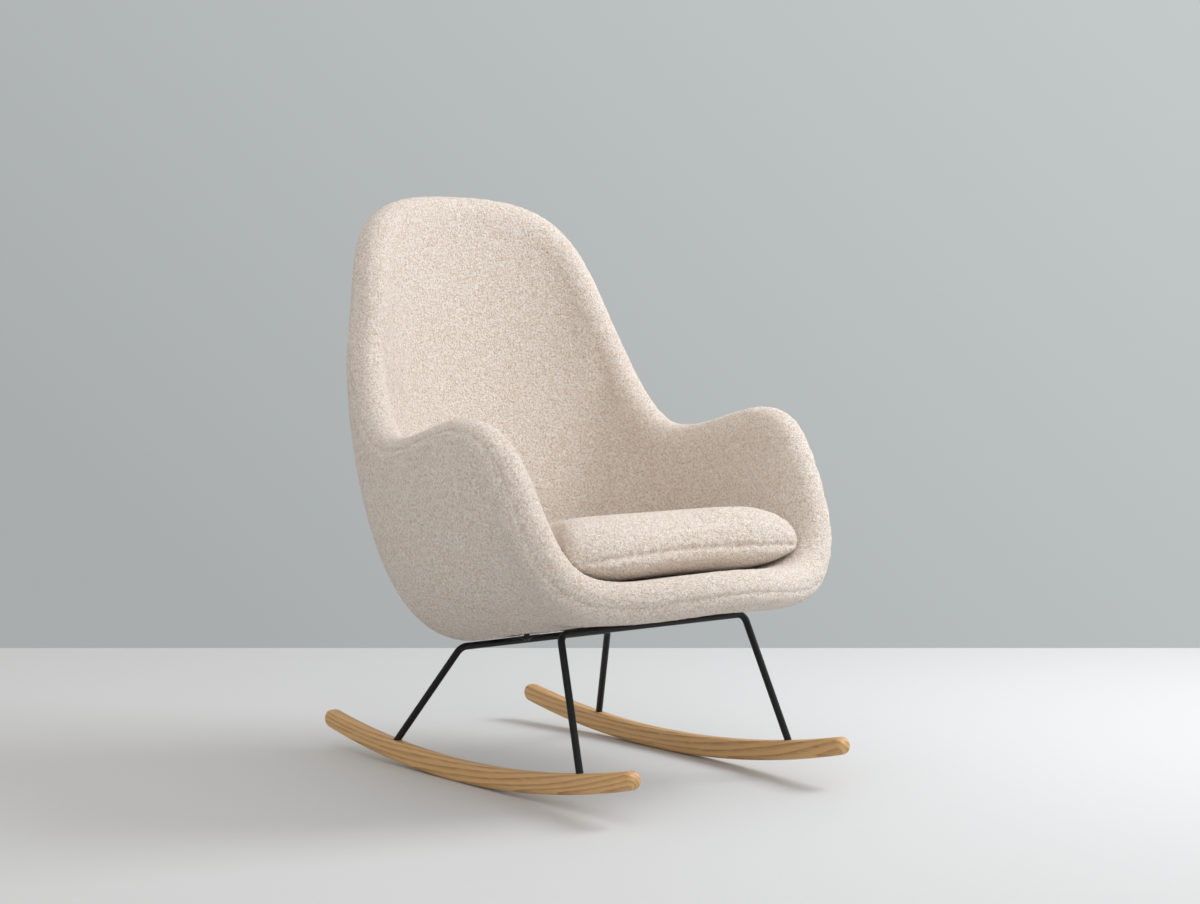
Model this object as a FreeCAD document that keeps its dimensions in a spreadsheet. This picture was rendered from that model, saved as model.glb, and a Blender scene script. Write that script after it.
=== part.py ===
import FreeCAD, Part
import math
import os
import Sketcher

# Upholstered rocking chair: a bucket shell of double curvature on two bent-rod
# leg frames that stand on arched oak rockers, with a loose seat cushion.
# Millimetres. +Z is up, the sitter faces -Y, and the origin lies on the floor
# halfway between the rocker tips.

V = FreeCAD.Vector

# Driving sizes. Everything else in this file is worked out from them.
SIZES = {
    # rockers
    "rocker_reach": 410.0,        # middle of the chair to the centre of a rounded tip
    "rocker_radius": 1890.0,      # running face
    "rocker_top_radius": 2105.0,  # upper face, flatter so that the tips taper
    "rocker_depth": 36.0,         # height of the rocker at its lowest point
    "rocker_width": 26.0,
    "rocker_spacing": 447.0,      # between the middle planes of the two rockers
    "rocker_edge": 5.0,           # bevel along all its edges
    "balance_y": 40.4,            # where the running face touches the floor at rest
    # leg frames
    "rod_diameter": 12.0,
    "bend_radius": 16.0,
    "front_bar_y": -206.0,
    "front_bar_half": 197.0,      # middle of the crossbar to the corner of the bend
    "front_foot_y": -288.0,
    "rear_bar_y": 111.0,
    "rear_bar_half": 161.0,
    "rear_foot_y": 212.0,
    # mounting tabs and fasteners
    "tab_offset": 70.0,           # middle plane to the middle of a tab
    "tab_width": 36.0,
    "tab_thickness": 4.0,
    "tab_margin": 13.0,           # plate beyond the middle of its bolt hole
    "tab_edge": 2.5,              # plate's welded edge, from the axis of the crossbar
    "bar_drop": 3.6,              # top of the bars and tabs below the flat underside
    "front_bolt": 88.0,           # forwards from the middle of the base
    "rear_bolt": 100.0,           # and backwards
    "bolt_diameter": 6.0,
    "bolt_length": 18.0,          # below the head
    "bolt_head_diameter": 11.0,
    "bolt_head_height": 4.0,
    "washer_diameter": 16.0,
    "washer_thickness": 1.6,
    "insert_diameter": 10.0,
    "stud_diameter": 6.0,
    "stud_length": 25.0,
    "sleeve_diameter": 11.0,
    "sleeve_length": 9.0,
    "sleeve_depth": 18.0,         # top of a rocker to the top of the sleeve nut
    "hole_clearance": 0.3,        # round every shank, on the radius
    # shell build-up, from the outside in
    "wall_thickness": 66.0,
    "cover_thickness": 3.0,
    "moulding_thickness": 8.0,
    "glue_line": 0.6,
    # flat base of the shell
    "base_y": -45.0,
    "base_z": 281.6,              # middle of the wall
    # heights of the rim's middle line
    "back_height": 948.0,         # at the top of the back
    "arm_height": 577.0,          # where the arms stand highest
    "lip_height": 337.0,          # along the front
    # loop that the walls bend round, where the seat turns up into back and arms
    "turn_half_width": 297.0,
    "turn_rear_y": 233.0,
    "turn_rear_z": 167.0,
    "turn_front_y": -270.0,
    "turn_front_z": 318.0,
    "back_bulge": 42.0,
    "arm_bulge": 12.0,
    # seat cushion
    "cushion_seam_height": 31.0,  # above the covered seat
    "cushion_droop": 10.0,        # of the seam towards the front corners
    "cushion_overhang": 26.0,     # of the seam beyond the seat there
    "cushion_crown": 80.0,        # above the seam
    "cushion_front": 283.0,       # from the middle of the base to the front seam
    "cushion_front_half": 268.0,  # half width that its rounded front corners turn in from
    "cushion_gap": 0.8,           # between the cushion and the covered seat
    "cushion_side_gap": 5.0,      # at the seam
}

# Half of the rim's middle line, from the top of the back round to the front
# lip: side, depth, and level above or below one of the rim's named heights.
RIM_STATIONS = {
    "top": (0.0, 368.0, 0.0),
    "shoulder": (172.0, 326.0, -35.0),
    "blade": (238.0, 268.0, -165.0),
    "waist": (269.0, 231.0, -270.0),
    "dip": (301.0, 105.0, -34.0),
    "peak": (319.0, -106.0, 0.0),
    "nose": (307.0, -213.0, -55.0),
    "foot": (288.0, -276.0, 65.0),
    "corner": (200.0, -327.0, -6.0),
    "lip": (0.0, -377.0, 0.0),
}
STATION_HEIGHTS = {
    "back_height": ("top", "shoulder", "blade", "waist"),
    "arm_height": ("dip", "peak", "nose"),
    "lip_height": ("foot", "corner", "lip"),
}
# At each station, the direction in which the wall below sets out from the base
# and how far the cover seam lies over the rim.
WALL_DEGREES = (0, 21, 38, 53, 71, 98, 119, 136, 153, 180)
SEAM_DEGREES = (75, 75, 75, 75, 72, 62, 52, 38, 20, 12)
MIDDLE_STATIONS = ("top", "lip")
COLUMNS_PER_GAP = 2         # columns of surface points between two rim stations
WALL_STEPS = 8              # points up a wall
RIM_STEPS = 6               # points over the rim
CUSHION_STEPS = 6           # points up the cushion's top panel
BOTTOM_SHARES = (0.0, 0.35, 0.62, 0.8, 0.91, 0.975, 1.0)  # and across its bottom panel

# Shape factors of a wall, as shares of its control lines.
BASE_FALL_SHARE = 0.186     # drop of the flat base towards the back, per unit of depth
FLAT_SHARE = 0.85           # of the way to the first control point stays flat
FIRST_SHARE = 0.62          # first control point, from the base to the turn
THIRD_SHARE = 0.553         # third control point, from the turn to the rim
REAR_SQUARENESS = 2.0       # exponent of the turn's outline at the back
FRONT_SQUARENESS = 2.3      # and at the front
MOULDING_SHARE = 0.96       # of a wall that the moulding covers
SEAM_GAP_DEGREES = 0.6      # between the two covers, over the rim
FRONT_POWER = 10.0          # squareness of the cushion's front outline
EDGE_POWER = 8.0            # fullness of the cushion's lower edge
RIM_LIMIT = 0.99            # share of a wall that the cushion's seam never passes
LIMIT_POWER = 14            # how tightly the seam keeps to the nearest of its limits
CORNER_POWER = 4            # how closely droop and overhang keep to the front corners
CROWN_POWER = 0.77          # fullness of the cushion's top, below 1 for a full edge
CROWN_FLAT = 0.3            # share of the cushion that stays flat on top
FASTENER_SIDES = 8          # small round pieces and their holes are plain prisms

doc = FreeCAD.newDocument("rocking_chair")
sheet = doc.addObject("Spreadsheet::Sheet", "sizes")


def fill_sheet():
    values = dict(SIZES)
    for height, names in STATION_HEIGHTS.items():
        for name in names:
            half, depth, level = RIM_STATIONS[name]
            if name not in MIDDLE_STATIONS:
                values["rim_" + name + "_half"] = half
            values["rim_" + name + "_depth"] = depth
            values["rim_" + name + "_height"] = "=%s + %s" % (height, level)
    for row, (name, value) in enumerate(values.items(), start=1):
        sheet.set("A%d" % row, name)
        sheet.set("B%d" % row, str(value))
        sheet.setAlias("B%d" % row, name)
    doc.recompute()


def size(name):
    return float(sheet.get(name))


fill_sheet()

# Directions of the flat base: its normal, and forwards along it.
UP = V(0, BASE_FALL_SHARE, 1).normalize()
FORWARD = V(0, -UP.z, UP.y)
BASE = V(0, size("base_y"), size("base_z"))
TILT = -math.degrees(math.atan(BASE_FALL_SHARE))
HALF_WALL = size("wall_thickness") / 2

# Distances of the layers from the middle of the wall, positive to the inside.
COVER_OUT = -HALF_WALL
COVER_BACK = COVER_OUT + size("cover_thickness")
MOULD_OUT = COVER_BACK + size("glue_line")
MOULD_IN = MOULD_OUT + size("moulding_thickness")
FOAM_OUT = MOULD_IN + size("glue_line")
INNER_FACE = HALF_WALL
INNER_BACK = INNER_FACE - size("cover_thickness")
FOAM_IN = INNER_BACK - size("glue_line")


# Closed curves and the surfaces made from them

def loop_poles(values):
    """Poles of the closed uniform cubic curve that passes through the values."""
    poles = list(values)
    count = len(values)
    for _ in range(60):
        poles = [
            (values[i] * 6 - poles[i - 1] - poles[(i + 1) % count]) * 0.25
            for i in range(count)
        ]
    return poles


def loop_samples(values):
    """Points on that curve, COLUMNS_PER_GAP of them for each value."""
    poles = loop_poles(values)
    count = len(values)
    samples = []
    for i in range(count):
        near = [poles[i - 1], poles[i], poles[(i + 1) % count], poles[(i + 2) % count]]
        for step in range(COLUMNS_PER_GAP):
            t = step / COLUMNS_PER_GAP
            weights = [
                (1 - t) ** 3 / 6,
                (3 * t ** 3 - 6 * t ** 2 + 4) / 6,
                (-3 * t ** 3 + 3 * t ** 2 + 3 * t + 1) / 6,
                t ** 3 / 6,
            ]
            total = near[0] * weights[0]
            for value, weight in zip(near[1:], weights[1:]):
                total = total + value * weight
            samples.append(total)
    return samples


def mirrored_loop(half):
    """The whole loop of a quantity that is the same on both sides."""
    return half + half[-2:0:-1]


def tube(columns):
    """Face through a closed row of columns, each a list of points."""
    count = len(columns)
    lengths = [0.0]
    for k in range(1, len(columns[0])):
        step = sum(c[k].distanceToPoint(c[k - 1]) for c in columns) / count
        lengths.append(lengths[-1] + step)
    parameters = [length / lengths[-1] for length in lengths]
    curves = []
    for column in columns:
        curve = Part.BSplineCurve()
        curve.interpolate(Points=column, Parameters=parameters)
        curves.append(curve)
    rows = zip(*[curve.getPoles() for curve in curves])
    net = [loop_poles(list(row)) for row in rows]
    surface = Part.BSplineSurface()
    surface.buildFromPolesMultsKnots(
        [list(poles) for poles in zip(*net)],
        [1] * (count + 1),
        curves[0].getMultiplicities(),
        [float(i) for i in range(count + 1)],
        curves[0].getKnots(),
        True, False, 3, 3,
    )
    return surface.toShape()


def strip(first_ring, last_ring):
    """Narrow face straight across from one ring of points to another."""
    return tube([
        [a + (b - a) * (k / 3) for k in range(4)]
        for a, b in zip(first_ring, last_ring)
    ])


def flat_cap(face, level):
    """Flat face that closes the end of a tube which lies at a level above BASE."""
    def off_level(edge):
        first, last = edge.ParameterRange
        spots = [edge.valueAt(first + (last - first) * k / 8) for k in range(8)]
        return max(abs((spot - BASE).dot(UP) - level) for spot in spots)
    return Part.Face(Part.Wire([min(face.Edges, key=off_level)]))


def closed_solid(faces):
    shell = Part.makeShell(faces)
    shell.sewShape()
    solid = Part.Solid(shell)
    if solid.Volume < 0:
        solid.reverse()
    return solid


# The bucket shell

def rim_loop():
    """Middle line of the rim, both sides."""
    half = []
    for name in RIM_STATIONS:
        side = 0.0 if name in MIDDLE_STATIONS else size("rim_" + name + "_half")
        half.append(V(side, size("rim_" + name + "_depth"), size("rim_" + name + "_height")))
    return half + [V(-p.x, p.y, p.z) for p in half[-2:0:-1]]


def wall_directions():
    """Direction in which each column's wall sets out, in radians from the back."""
    even = 180.0 / (len(WALL_DEGREES) - 1)
    half = [turn - even * i for i, turn in enumerate(WALL_DEGREES)]
    swing = loop_samples(half + [-value for value in half[-2:0:-1]])
    return [math.radians(d + 360.0 * i / len(swing)) for i, d in enumerate(swing)]


def turn_point(direction):
    """Point of the loop that a wall bends round."""
    c, s = math.cos(direction), math.sin(direction)
    power = REAR_SQUARENESS + (FRONT_SQUARENESS - REAR_SQUARENESS) * (0.5 - 0.5 * c)
    reach = (abs(c) ** power + abs(s) ** power) ** (-1 / power)
    rear, front = size("turn_rear_y"), size("turn_front_y")
    y = (rear + front) / 2 + (rear - front) / 2 * reach * c
    rise = (size("turn_rear_z") - size("turn_front_z")) / (rear - front)
    return V(size("turn_half_width") * reach * s, y, size("turn_front_z") + rise * (y - front))


def wall_controls():
    """Five control points for each column, from the flat base to the rim."""
    back, arm = size("back_bulge"), size("arm_bulge")
    bulges = [back, back, back, 0.7 * back + 0.3 * arm, arm, arm, arm, 0.5 * arm, 0.0, 0.0]
    rims = loop_samples(rim_loop())
    directions = wall_directions()
    walls = []
    for rim, direction, bulge in zip(rims, directions, loop_samples(mirrored_loop(bulges))):
        turn = turn_point(direction)
        first = BASE + (turn - BASE) * FIRST_SHARE
        first = first - UP * ((first - BASE).dot(UP))
        outwards = V(math.sin(direction), math.cos(direction), 0)
        third = turn + (rim - turn) * THIRD_SHARE + outwards * bulge
        walls.append([BASE + (first - BASE) * FLAT_SHARE, first, turn, third, rim])
    return walls


WALLS = wall_controls()
COLUMNS = len(WALLS)
SEAM_ANGLES = loop_samples(mirrored_loop(list(SEAM_DEGREES)))


def wall_point(column, share):
    rest = 1 - share
    weights = [math.comb(4, k) * rest ** (4 - k) * share ** k for k in range(5)]
    total = V(0, 0, 0)
    for point, weight in zip(WALLS[column], weights):
        total = total + point * weight
    return total


def wall_slope(column, share):
    rest = 1 - share
    total = V(0, 0, 0)
    for k in range(4):
        weight = math.comb(3, k) * rest ** (3 - k) * share ** k
        total = total + (WALLS[column][k + 1] - WALLS[column][k]) * weight
    return total


def along_loop(points, i, k):
    """Direction round the shell at a point of a grid."""
    count = len(points)
    near = points[(i + 1) % count][k] - points[i - 1][k]
    far = points[(i + 2) % count][k] - points[i - 2][k]
    return near * 8 - far


def wall_grid(shares):
    """Middle points and inward normals; shares holds a list for each column."""
    points = [[wall_point(i, s) for s in shares[i]] for i in range(COLUMNS)]
    normals = [
        [
            V(UP) if s == 0 else along_loop(points, i, k).cross(wall_slope(i, s)).normalize()
            for k, s in enumerate(shares[i])
        ]
        for i in range(COLUMNS)
    ]
    return points, normals


def even_shares(top):
    return [[top * k / WALL_STEPS for k in range(WALL_STEPS + 1)]] * COLUMNS


def layer(distance, top=1.0):
    """Columns of a face at a distance from the middle of the wall."""
    points, normals = wall_grid(even_shares(top))
    return [
        [p + n * distance for p, n in zip(point_column, normal_column)]
        for point_column, normal_column in zip(points, normals)
    ]


def rim_frame():
    """For each column the rim point, the inward normal and the way off the edge."""
    points, normals = wall_grid(even_shares(1.0))
    frame = []
    for i in range(COLUMNS):
        along = along_loop(points, i, -1).normalize()
        off = wall_slope(i, 1.0)
        off = (off - along * off.dot(along)).normalize()
        frame.append((points[i][-1], normals[i][-1], off))
    return frame


RIM_FRAME = rim_frame()


def rim_arc(radius, first, last, steps=RIM_STEPS):
    """Columns over the rim between two angles, 0 at the inside and 180 outside."""
    columns = []
    for i, (point, inwards, off) in enumerate(RIM_FRAME):
        column = []
        for k in range(steps + 1):
            angle = math.radians(first[i] + (last[i] - first[i]) * k / steps)
            reach = inwards * math.cos(angle) + off * math.sin(angle)
            column.append(point + reach * radius)
        columns.append(column)
    return columns


def ring(columns, index):
    return [column[index] for column in columns]


def add_feature(label, shape):
    feature = doc.addObject("Part::Feature", label)
    feature.Label = label
    feature.Shape = shape
    feature.Placement = FreeCAD.Placement()
    return feature


def base_spots():
    """Points of the base plane on the axes of the four tab bolts."""
    return [
        BASE + FORWARD * forward + V(side * size("tab_offset"), 0, 0)
        for forward in (size("front_bolt"), -size("rear_bolt"))
        for side in (-1, 1)
    ]


def octagon(radius):
    """Corners of a fastener's outline round its axis; none lies on an axis of the sketch."""
    angles = [math.radians((k + 0.5) * 360 / FASTENER_SIDES) for k in range(FASTENER_SIDES)]
    return [(radius * math.cos(a), radius * math.sin(a)) for a in angles]


def drilled(solid, low, high):
    """Solid with a hole for each of the four inserts between two levels."""
    radius = size("insert_diameter") / 2 + size("hole_clearance")
    drills = []
    for spot in base_spots():
        corners = [spot + V(u, 0, 0) - FORWARD * v + UP * low for u, v in octagon(radius)]
        face = Part.Face(Part.makePolygon(corners + corners[:1]))
        drills.append(face.extrude(UP * (high - low)))
    return solid.cut(Part.makeCompound(drills))


def chords(rings):
    """Straight strips from each ring of points to the next."""
    return [strip(a, b) for a, b in zip(rings, rings[1:])]


def rim_ring(radius, angles):
    return ring(rim_arc(radius, angles, angles, 1), 0)


def seam_share(part, turn=0.0):
    """Angles a part of the way from the inside of the rim to the cover seam."""
    return [(90 + a) * part + turn for a in SEAM_ANGLES]


INSIDE = [0.0] * COLUMNS
OUTSIDE = [180.0] * COLUMNS
RIM_PARTS = (0.0, 0.5)


def outside_cover():
    seam = seam_share(1.0, SEAM_GAP_DEGREES)
    face_arc = rim_arc(-COVER_OUT, OUTSIDE, seam, RIM_STEPS // 2)
    back = [rim_ring(-COVER_BACK, angles) for angles in (OUTSIDE, seam)]
    faces = [tube(layer(COVER_OUT)), tube(layer(COVER_BACK)), tube(face_arc)]
    faces += chords(back + [ring(face_arc, -1)])
    faces.append(flat_cap(faces[0], COVER_OUT))
    faces.append(flat_cap(faces[1], COVER_BACK))
    solid = drilled(closed_solid(faces), COVER_OUT - 1, COVER_BACK + 1)
    return add_feature("outside_cover", solid)


def inside_cover():
    """Round over the rim outside; its back follows the bevelled edge of the foam."""
    seam = seam_share(1.0, -SEAM_GAP_DEGREES)
    face_arc = rim_arc(INNER_FACE, INSIDE, seam)
    back = [rim_ring(INNER_BACK, seam_share(part)) for part in RIM_PARTS]
    back.append(rim_ring(INNER_BACK, seam))
    faces = [tube(layer(INNER_FACE)), tube(layer(INNER_BACK)), tube(face_arc)]
    faces += chords(back + [ring(face_arc, -1)])
    faces.append(flat_cap(faces[0], INNER_FACE))
    faces.append(flat_cap(faces[1], INNER_BACK))
    return add_feature("inside_cover", closed_solid(faces))


def moulded_shell():
    outer, inner = layer(MOULD_OUT, MOULDING_SHARE), layer(MOULD_IN, MOULDING_SHARE)
    faces = [tube(outer), tube(inner), strip(ring(outer, -1), ring(inner, -1))]
    faces.append(flat_cap(faces[0], MOULD_OUT))
    faces.append(flat_cap(faces[1], MOULD_IN))
    solid = drilled(closed_solid(faces), MOULD_OUT - 1, MOULD_IN + 1)
    return add_feature("moulded_shell", solid)


def shell_foam():
    """Foam on the moulding's inside, drawn past its edge and bevelled round the rim."""
    behind = layer(FOAM_OUT, MOULDING_SHARE)
    rim = [rim_ring(FOAM_IN, seam_share(part)) for part in (1.0,) + RIM_PARTS[::-1]]
    faces = [tube(behind), tube(layer(FOAM_IN))]
    faces += chords([ring(behind, -1)] + rim)
    faces.append(flat_cap(faces[0], FOAM_OUT))
    faces.append(flat_cap(faces[1], FOAM_IN))
    return add_feature("shell_foam", closed_solid(faces))


# The seat cushion

def seat_height(point):
    """Height of a point above the covered seat, square to the base."""
    return (point - BASE).dot(UP) - INNER_FACE


def crossing(values, level):
    """Share of a wall at which a rising list of values passes a level."""
    last = len(values) - 1
    for k in range(last):
        if values[k] < level <= values[k + 1]:
            part = (level - values[k]) / (values[k + 1] - values[k])
            return (k + part) / last
    return 2.0


def front_shares(point):
    """How far a point lies towards the cushion's front and its side, 1 on them."""
    forward = max((point - BASE).dot(FORWARD), 0.0) / size("cushion_front")
    return forward, abs(point.x) / size("cushion_front_half")


def front_reach(point):
    """How far a point lies towards the cushion's rounded front outline, 1 on it."""
    forward, side = front_shares(point)
    return (forward ** FRONT_POWER + side ** FRONT_POWER) ** (1 / FRONT_POWER)


def cushion_shares():
    """How far up each wall the cushion's seam reaches."""
    fine = [[k / 40 for k in range(41)]] * COLUMNS
    points, normals = wall_grid(fine)
    shares = []
    for point_column, normal_column in zip(points, normals):
        seat = [p + n * INNER_FACE for p, n in zip(point_column, normal_column)]
        by_height = crossing([seat_height(p) for p in seat], size("cushion_seam_height"))
        by_front = crossing([front_reach(p) for p in seat], 1.0)
        limits = (by_height, by_front, RIM_LIMIT)
        shares.append(sum(limit ** -LIMIT_POWER for limit in limits) ** (-1 / LIMIT_POWER))
    return shares


def cushion_bottom():
    """Columns of the bottom panel, from its flat middle to the seam."""
    tops = cushion_shares()
    shares = [[top * part for part in BOTTOM_SHARES] for top in tops]
    points, normals = wall_grid(shares)
    columns = []
    for point_column, normal_column in zip(points, normals):
        seat = [p + n * INNER_FACE for p, n in zip(point_column, normal_column)]
        forward, side = front_shares(seat[-1])
        corner = (forward * side) ** CORNER_POWER
        lift = size("cushion_seam_height") - size("cushion_droop") * corner - seat_height(seat[-1])
        outwards = seat[-1] - BASE
        outwards = (outwards - UP * outwards.dot(UP)).normalize()
        column = []
        for part, spot, normal in zip(BOTTOM_SHARES, seat, normal_column):
            gap = size("cushion_gap") + (size("cushion_side_gap") - size("cushion_gap")) * part ** 3
            edge = 1 - math.sqrt(1 - part ** EDGE_POWER)
            move = UP * lift + outwards * (size("cushion_overhang") * corner)
            column.append(spot + normal * gap + move * edge)
        columns.append(column)
    return columns


def cushion_top(seam):
    """Columns of the top panel, from the seam up to its flat crown."""
    middle = V(0, 0, 0)
    for point in seam:
        middle = middle + point * (1 / len(seam))
    crown = (middle - BASE).dot(UP) + size("cushion_crown")
    columns = []
    for point in seam:
        column = []
        for k in range(CUSHION_STEPS + 1):
            angle = math.radians(90.0 * k / CUSHION_STEPS)
            out = max(math.cos(angle), 0.0) ** CROWN_POWER
            spot = middle + (point - middle) * (CROWN_FLAT + (1 - CROWN_FLAT) * out)
            rise = math.sin(angle) ** CROWN_POWER
            column.append(spot + UP * ((crown - (spot - BASE).dot(UP)) * rise))
        columns.append(column)
    return columns


def inset(columns, distance, first_normal=None, last_normal=None):
    """Columns moved inwards; an end that must stay flat is given its normal."""
    last = len(columns[0]) - 1
    moved = []
    for i, column in enumerate(columns):
        row = []
        for k, point in enumerate(column):
            rise = column[min(k + 1, last)] - column[max(k - 1, 0)]
            normal = along_loop(columns, i, k).cross(rise).normalize()
            if k == 0 and first_normal:
                normal = first_normal
            if k == last and last_normal:
                normal = last_normal
            row.append(point + normal * distance)
        moved.append(row)
    return moved


def seat_cushion():
    """Two cover panels, each with its fibre wrap, round a bevelled foam core."""
    bottom = cushion_bottom()
    top = cushion_top(ring(bottom, -1))
    whole = [b + t[1:] for b, t in zip(bottom, top)]
    seam = len(BOTTOM_SHARES) - 1
    low_bevels, high_bevels = (0, 4, seam), (seam, seam + 2, seam + 4, seam + CUSHION_STEPS)

    def level(point):
        return (point - BASE).dot(UP)

    back = inset(whole, size("cover_thickness"), UP, UP * -1)
    core = inset(whole, size("cover_thickness") + size("glue_line"), UP, UP * -1)
    for label, face, bevels, end in (
        ("cushion_bottom_cover", tube(bottom), low_bevels, 0),
        ("cushion_top_cover", tube(top), high_bevels, -1),
    ):
        faces = [face] + chords([ring(back, k) for k in bevels])
        faces.append(strip(ring(whole, seam), ring(back, seam)))
        faces.append(flat_cap(face, level(whole[0][end])))
        faces.append(flat_cap(faces[1 if end == 0 else -3], level(back[0][end])))
        add_feature(label, closed_solid(faces))
    faces = chords([ring(core, k) for k in low_bevels + high_bevels[1:]])
    low, high = faces[0], faces[-1]
    faces.append(flat_cap(low, level(core[0][0])))
    faces.append(flat_cap(high, level(core[0][-1])))
    add_feature("cushion_core", closed_solid(faces))


# Hard pieces: bodies whose sketches are tied to the sheet

class Size:
    """A length together with the sheet expression that it comes from."""

    def __init__(self, value, text):
        self.value = value
        self.text = text

    def joined(self, other, sign, value):
        return Size(value, "(%s %s %s)" % (self.text, sign, other.text))

    def __add__(self, other):
        other = as_size(other)
        return self.joined(other, "+", self.value + other.value)

    def __sub__(self, other):
        other = as_size(other)
        return self.joined(other, "-", self.value - other.value)

    def __mul__(self, other):
        other = as_size(other)
        return self.joined(other, "*", self.value * other.value)

    def __truediv__(self, other):
        other = as_size(other)
        return self.joined(other, "/", self.value / other.value)

    def __neg__(self):
        return self * -1


def as_size(value):
    return value if isinstance(value, Size) else Size(float(value), "%.9g" % value)


def cell(name):
    return Size(size(name), "sizes." + name)


def add_body(label):
    body = doc.addObject("PartDesign::Body", label)
    body.Label = label
    body.AllowCompound = True
    return body


def origin_feature(body, role):
    return next(f for f in body.Origin.OriginFeatures if f.Role == role)


def add_sketch(body, role, offset=None):
    sketch = body.newObject("Sketcher::SketchObject", body.Name + "_sketch")
    sketch.AttachmentSupport = [(origin_feature(body, role), "")]
    sketch.MapMode = "FlatFace"
    if offset:
        sketch.AttachmentOffset = offset
    return sketch


def add_step(body, kind, sketch, **settings):
    step = body.newObject("PartDesign::" + kind, body.Name + "_" + kind.lower())
    step.Profile = sketch
    for name, value in settings.items():
        if isinstance(value, Size):
            step.setExpression(name, value.text)
        else:
            setattr(step, name, value)
    sketch.Visibility = False
    body.Tip = step
    doc.recompute()
    return step


def bind(sketch, kind, *where, value):
    """Add a dimension and tie it to the sheet."""
    index = sketch.addConstraint(Sketcher.Constraint(kind, *where, value.value))
    sketch.setExpression("Constraints[%d]" % index, value.text)


def bind_point(sketch, geometry, point, across, up):
    """Hold a point at two coordinates, or on an axis where one of them is zero."""
    for kind, axis, value in (("DistanceX", -2, across), ("DistanceY", -1, up)):
        value = as_size(value)
        if value.value == 0:
            sketch.addConstraint(Sketcher.Constraint("PointOnObject", geometry, point, axis))
        else:
            bind(sketch, kind, geometry, point, value=value)


def polygon(sketch, corners):
    """Closed outline of straight lines with every corner tied to the sheet."""
    spots = [V(as_size(u).value, as_size(v).value, 0) for u, v in corners]
    first = sketch.GeometryCount
    for a, b in zip(spots, spots[1:] + spots[:1]):
        sketch.addGeometry(Part.LineSegment(a, b), False)
    count = len(spots)
    for k, (across, up) in enumerate(corners):
        before = first + (k - 1) % count
        sketch.addConstraint(Sketcher.Constraint("Coincident", before, 2, first + k, 1))
        bind_point(sketch, first + k, 1, across, up)


def circle(sketch, radius, across=0.0, up=0.0):
    centre = V(as_size(across).value, as_size(up).value, 0)
    index = sketch.addGeometry(Part.Circle(centre, V(0, 0, 1), radius.value), False)
    bind(sketch, "Radius", index, value=radius)
    bind_point(sketch, index, 3, across, up)


def prism(body, place, radii, low, high, kind="Pad"):
    """Plain prism along the place's upright axis; a second radius is its bore."""
    level = place.multiply(FreeCAD.Placement(V(0, 0, as_size(high).value), FreeCAD.Rotation()))
    sketch = add_sketch(body, "XY_Plane", level)
    for radius in radii:
        polygon(sketch, octagon(radius))
    return add_step(body, kind, sketch, Reversed=kind == "Pad", Length=as_size(high) - low)


def mirrored(body, steps):
    copy = body.newObject("PartDesign::Mirrored", body.Name + "_mirrored")
    copy.Originals = steps
    copy.MirrorPlane = (origin_feature(body, "YZ_Plane"), [""])
    body.Tip = copy
    doc.recompute()
    return copy


# Rockers

def rocker_top(y):
    """Height of a rocker's upper face, and the lean of its normal in degrees."""
    radius = size("rocker_top_radius")
    away = y - size("balance_y")
    height = size("rocker_depth") + radius - math.sqrt(radius ** 2 - away ** 2)
    return height, math.degrees(math.asin(away / radius))


def foot_place(y, across=0.0):
    """Where a foot stands on a rocker, upright along its stud."""
    height, lean = rocker_top(y)
    return FreeCAD.Placement(V(across, y, height), FreeCAD.Rotation(V(1, 0, 0), lean))


def arc(centre, radius, first, last):
    """Arc that runs counter-clockwise between the directions of two points."""
    angles = [math.atan2(p.y - centre.y, p.x - centre.x) for p in (first, last)]
    return Part.ArcOfCircle(Part.Circle(centre, V(0, 0, 1), radius), *angles)


def rocker_outline(sketch):
    run, top = size("rocker_radius"), size("rocker_top_radius")
    balance, depth = size("balance_y"), size("rocker_depth")
    run_centre, top_centre = V(balance, run, 0), V(balance, depth + top, 0)
    tips = []
    for side in (-1, 1):
        # first guess of the rounded tip, midway between the two faces
        y = side * size("rocker_reach")
        low = run - math.sqrt(run ** 2 - (y - balance) ** 2)
        high = depth + top - math.sqrt(top ** 2 - (y - balance) ** 2)
        centre = V(y, (low + high) / 2, 0)
        lows = centre + (centre - run_centre).normalize() * ((high - low) / 2)
        highs = centre - (centre - top_centre).normalize() * ((high - low) / 2)
        tips.append((centre, (high - low) / 2, lows, highs))
    (front, front_radius, front_low, front_high), (rear, rear_radius, rear_low, rear_high) = tips
    sketch.addGeometry([
        arc(run_centre, run, front_low, rear_low),
        arc(rear, rear_radius, rear_low, rear_high),
        arc(top_centre, top, front_high, rear_high),
        arc(front, front_radius, front_high, front_low),
    ], False)
    for first, first_end, second, second_end in (
        (0, 2, 1, 1), (1, 2, 2, 2), (2, 1, 3, 1), (3, 2, 0, 1),
    ):
        sketch.addConstraint(Sketcher.Constraint("Tangent", first, first_end, second, second_end))
    bind(sketch, "Radius", 0, value=cell("rocker_radius"))
    bind_point(sketch, 0, 3, cell("balance_y"), cell("rocker_radius"))
    bind(sketch, "Radius", 2, value=cell("rocker_top_radius"))
    bind_point(sketch, 2, 3, cell("balance_y"), cell("rocker_depth") + cell("rocker_top_radius"))
    bind(sketch, "DistanceX", 1, 3, value=cell("rocker_reach"))
    bind(sketch, "DistanceX", 3, 3, value=-cell("rocker_reach"))


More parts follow.
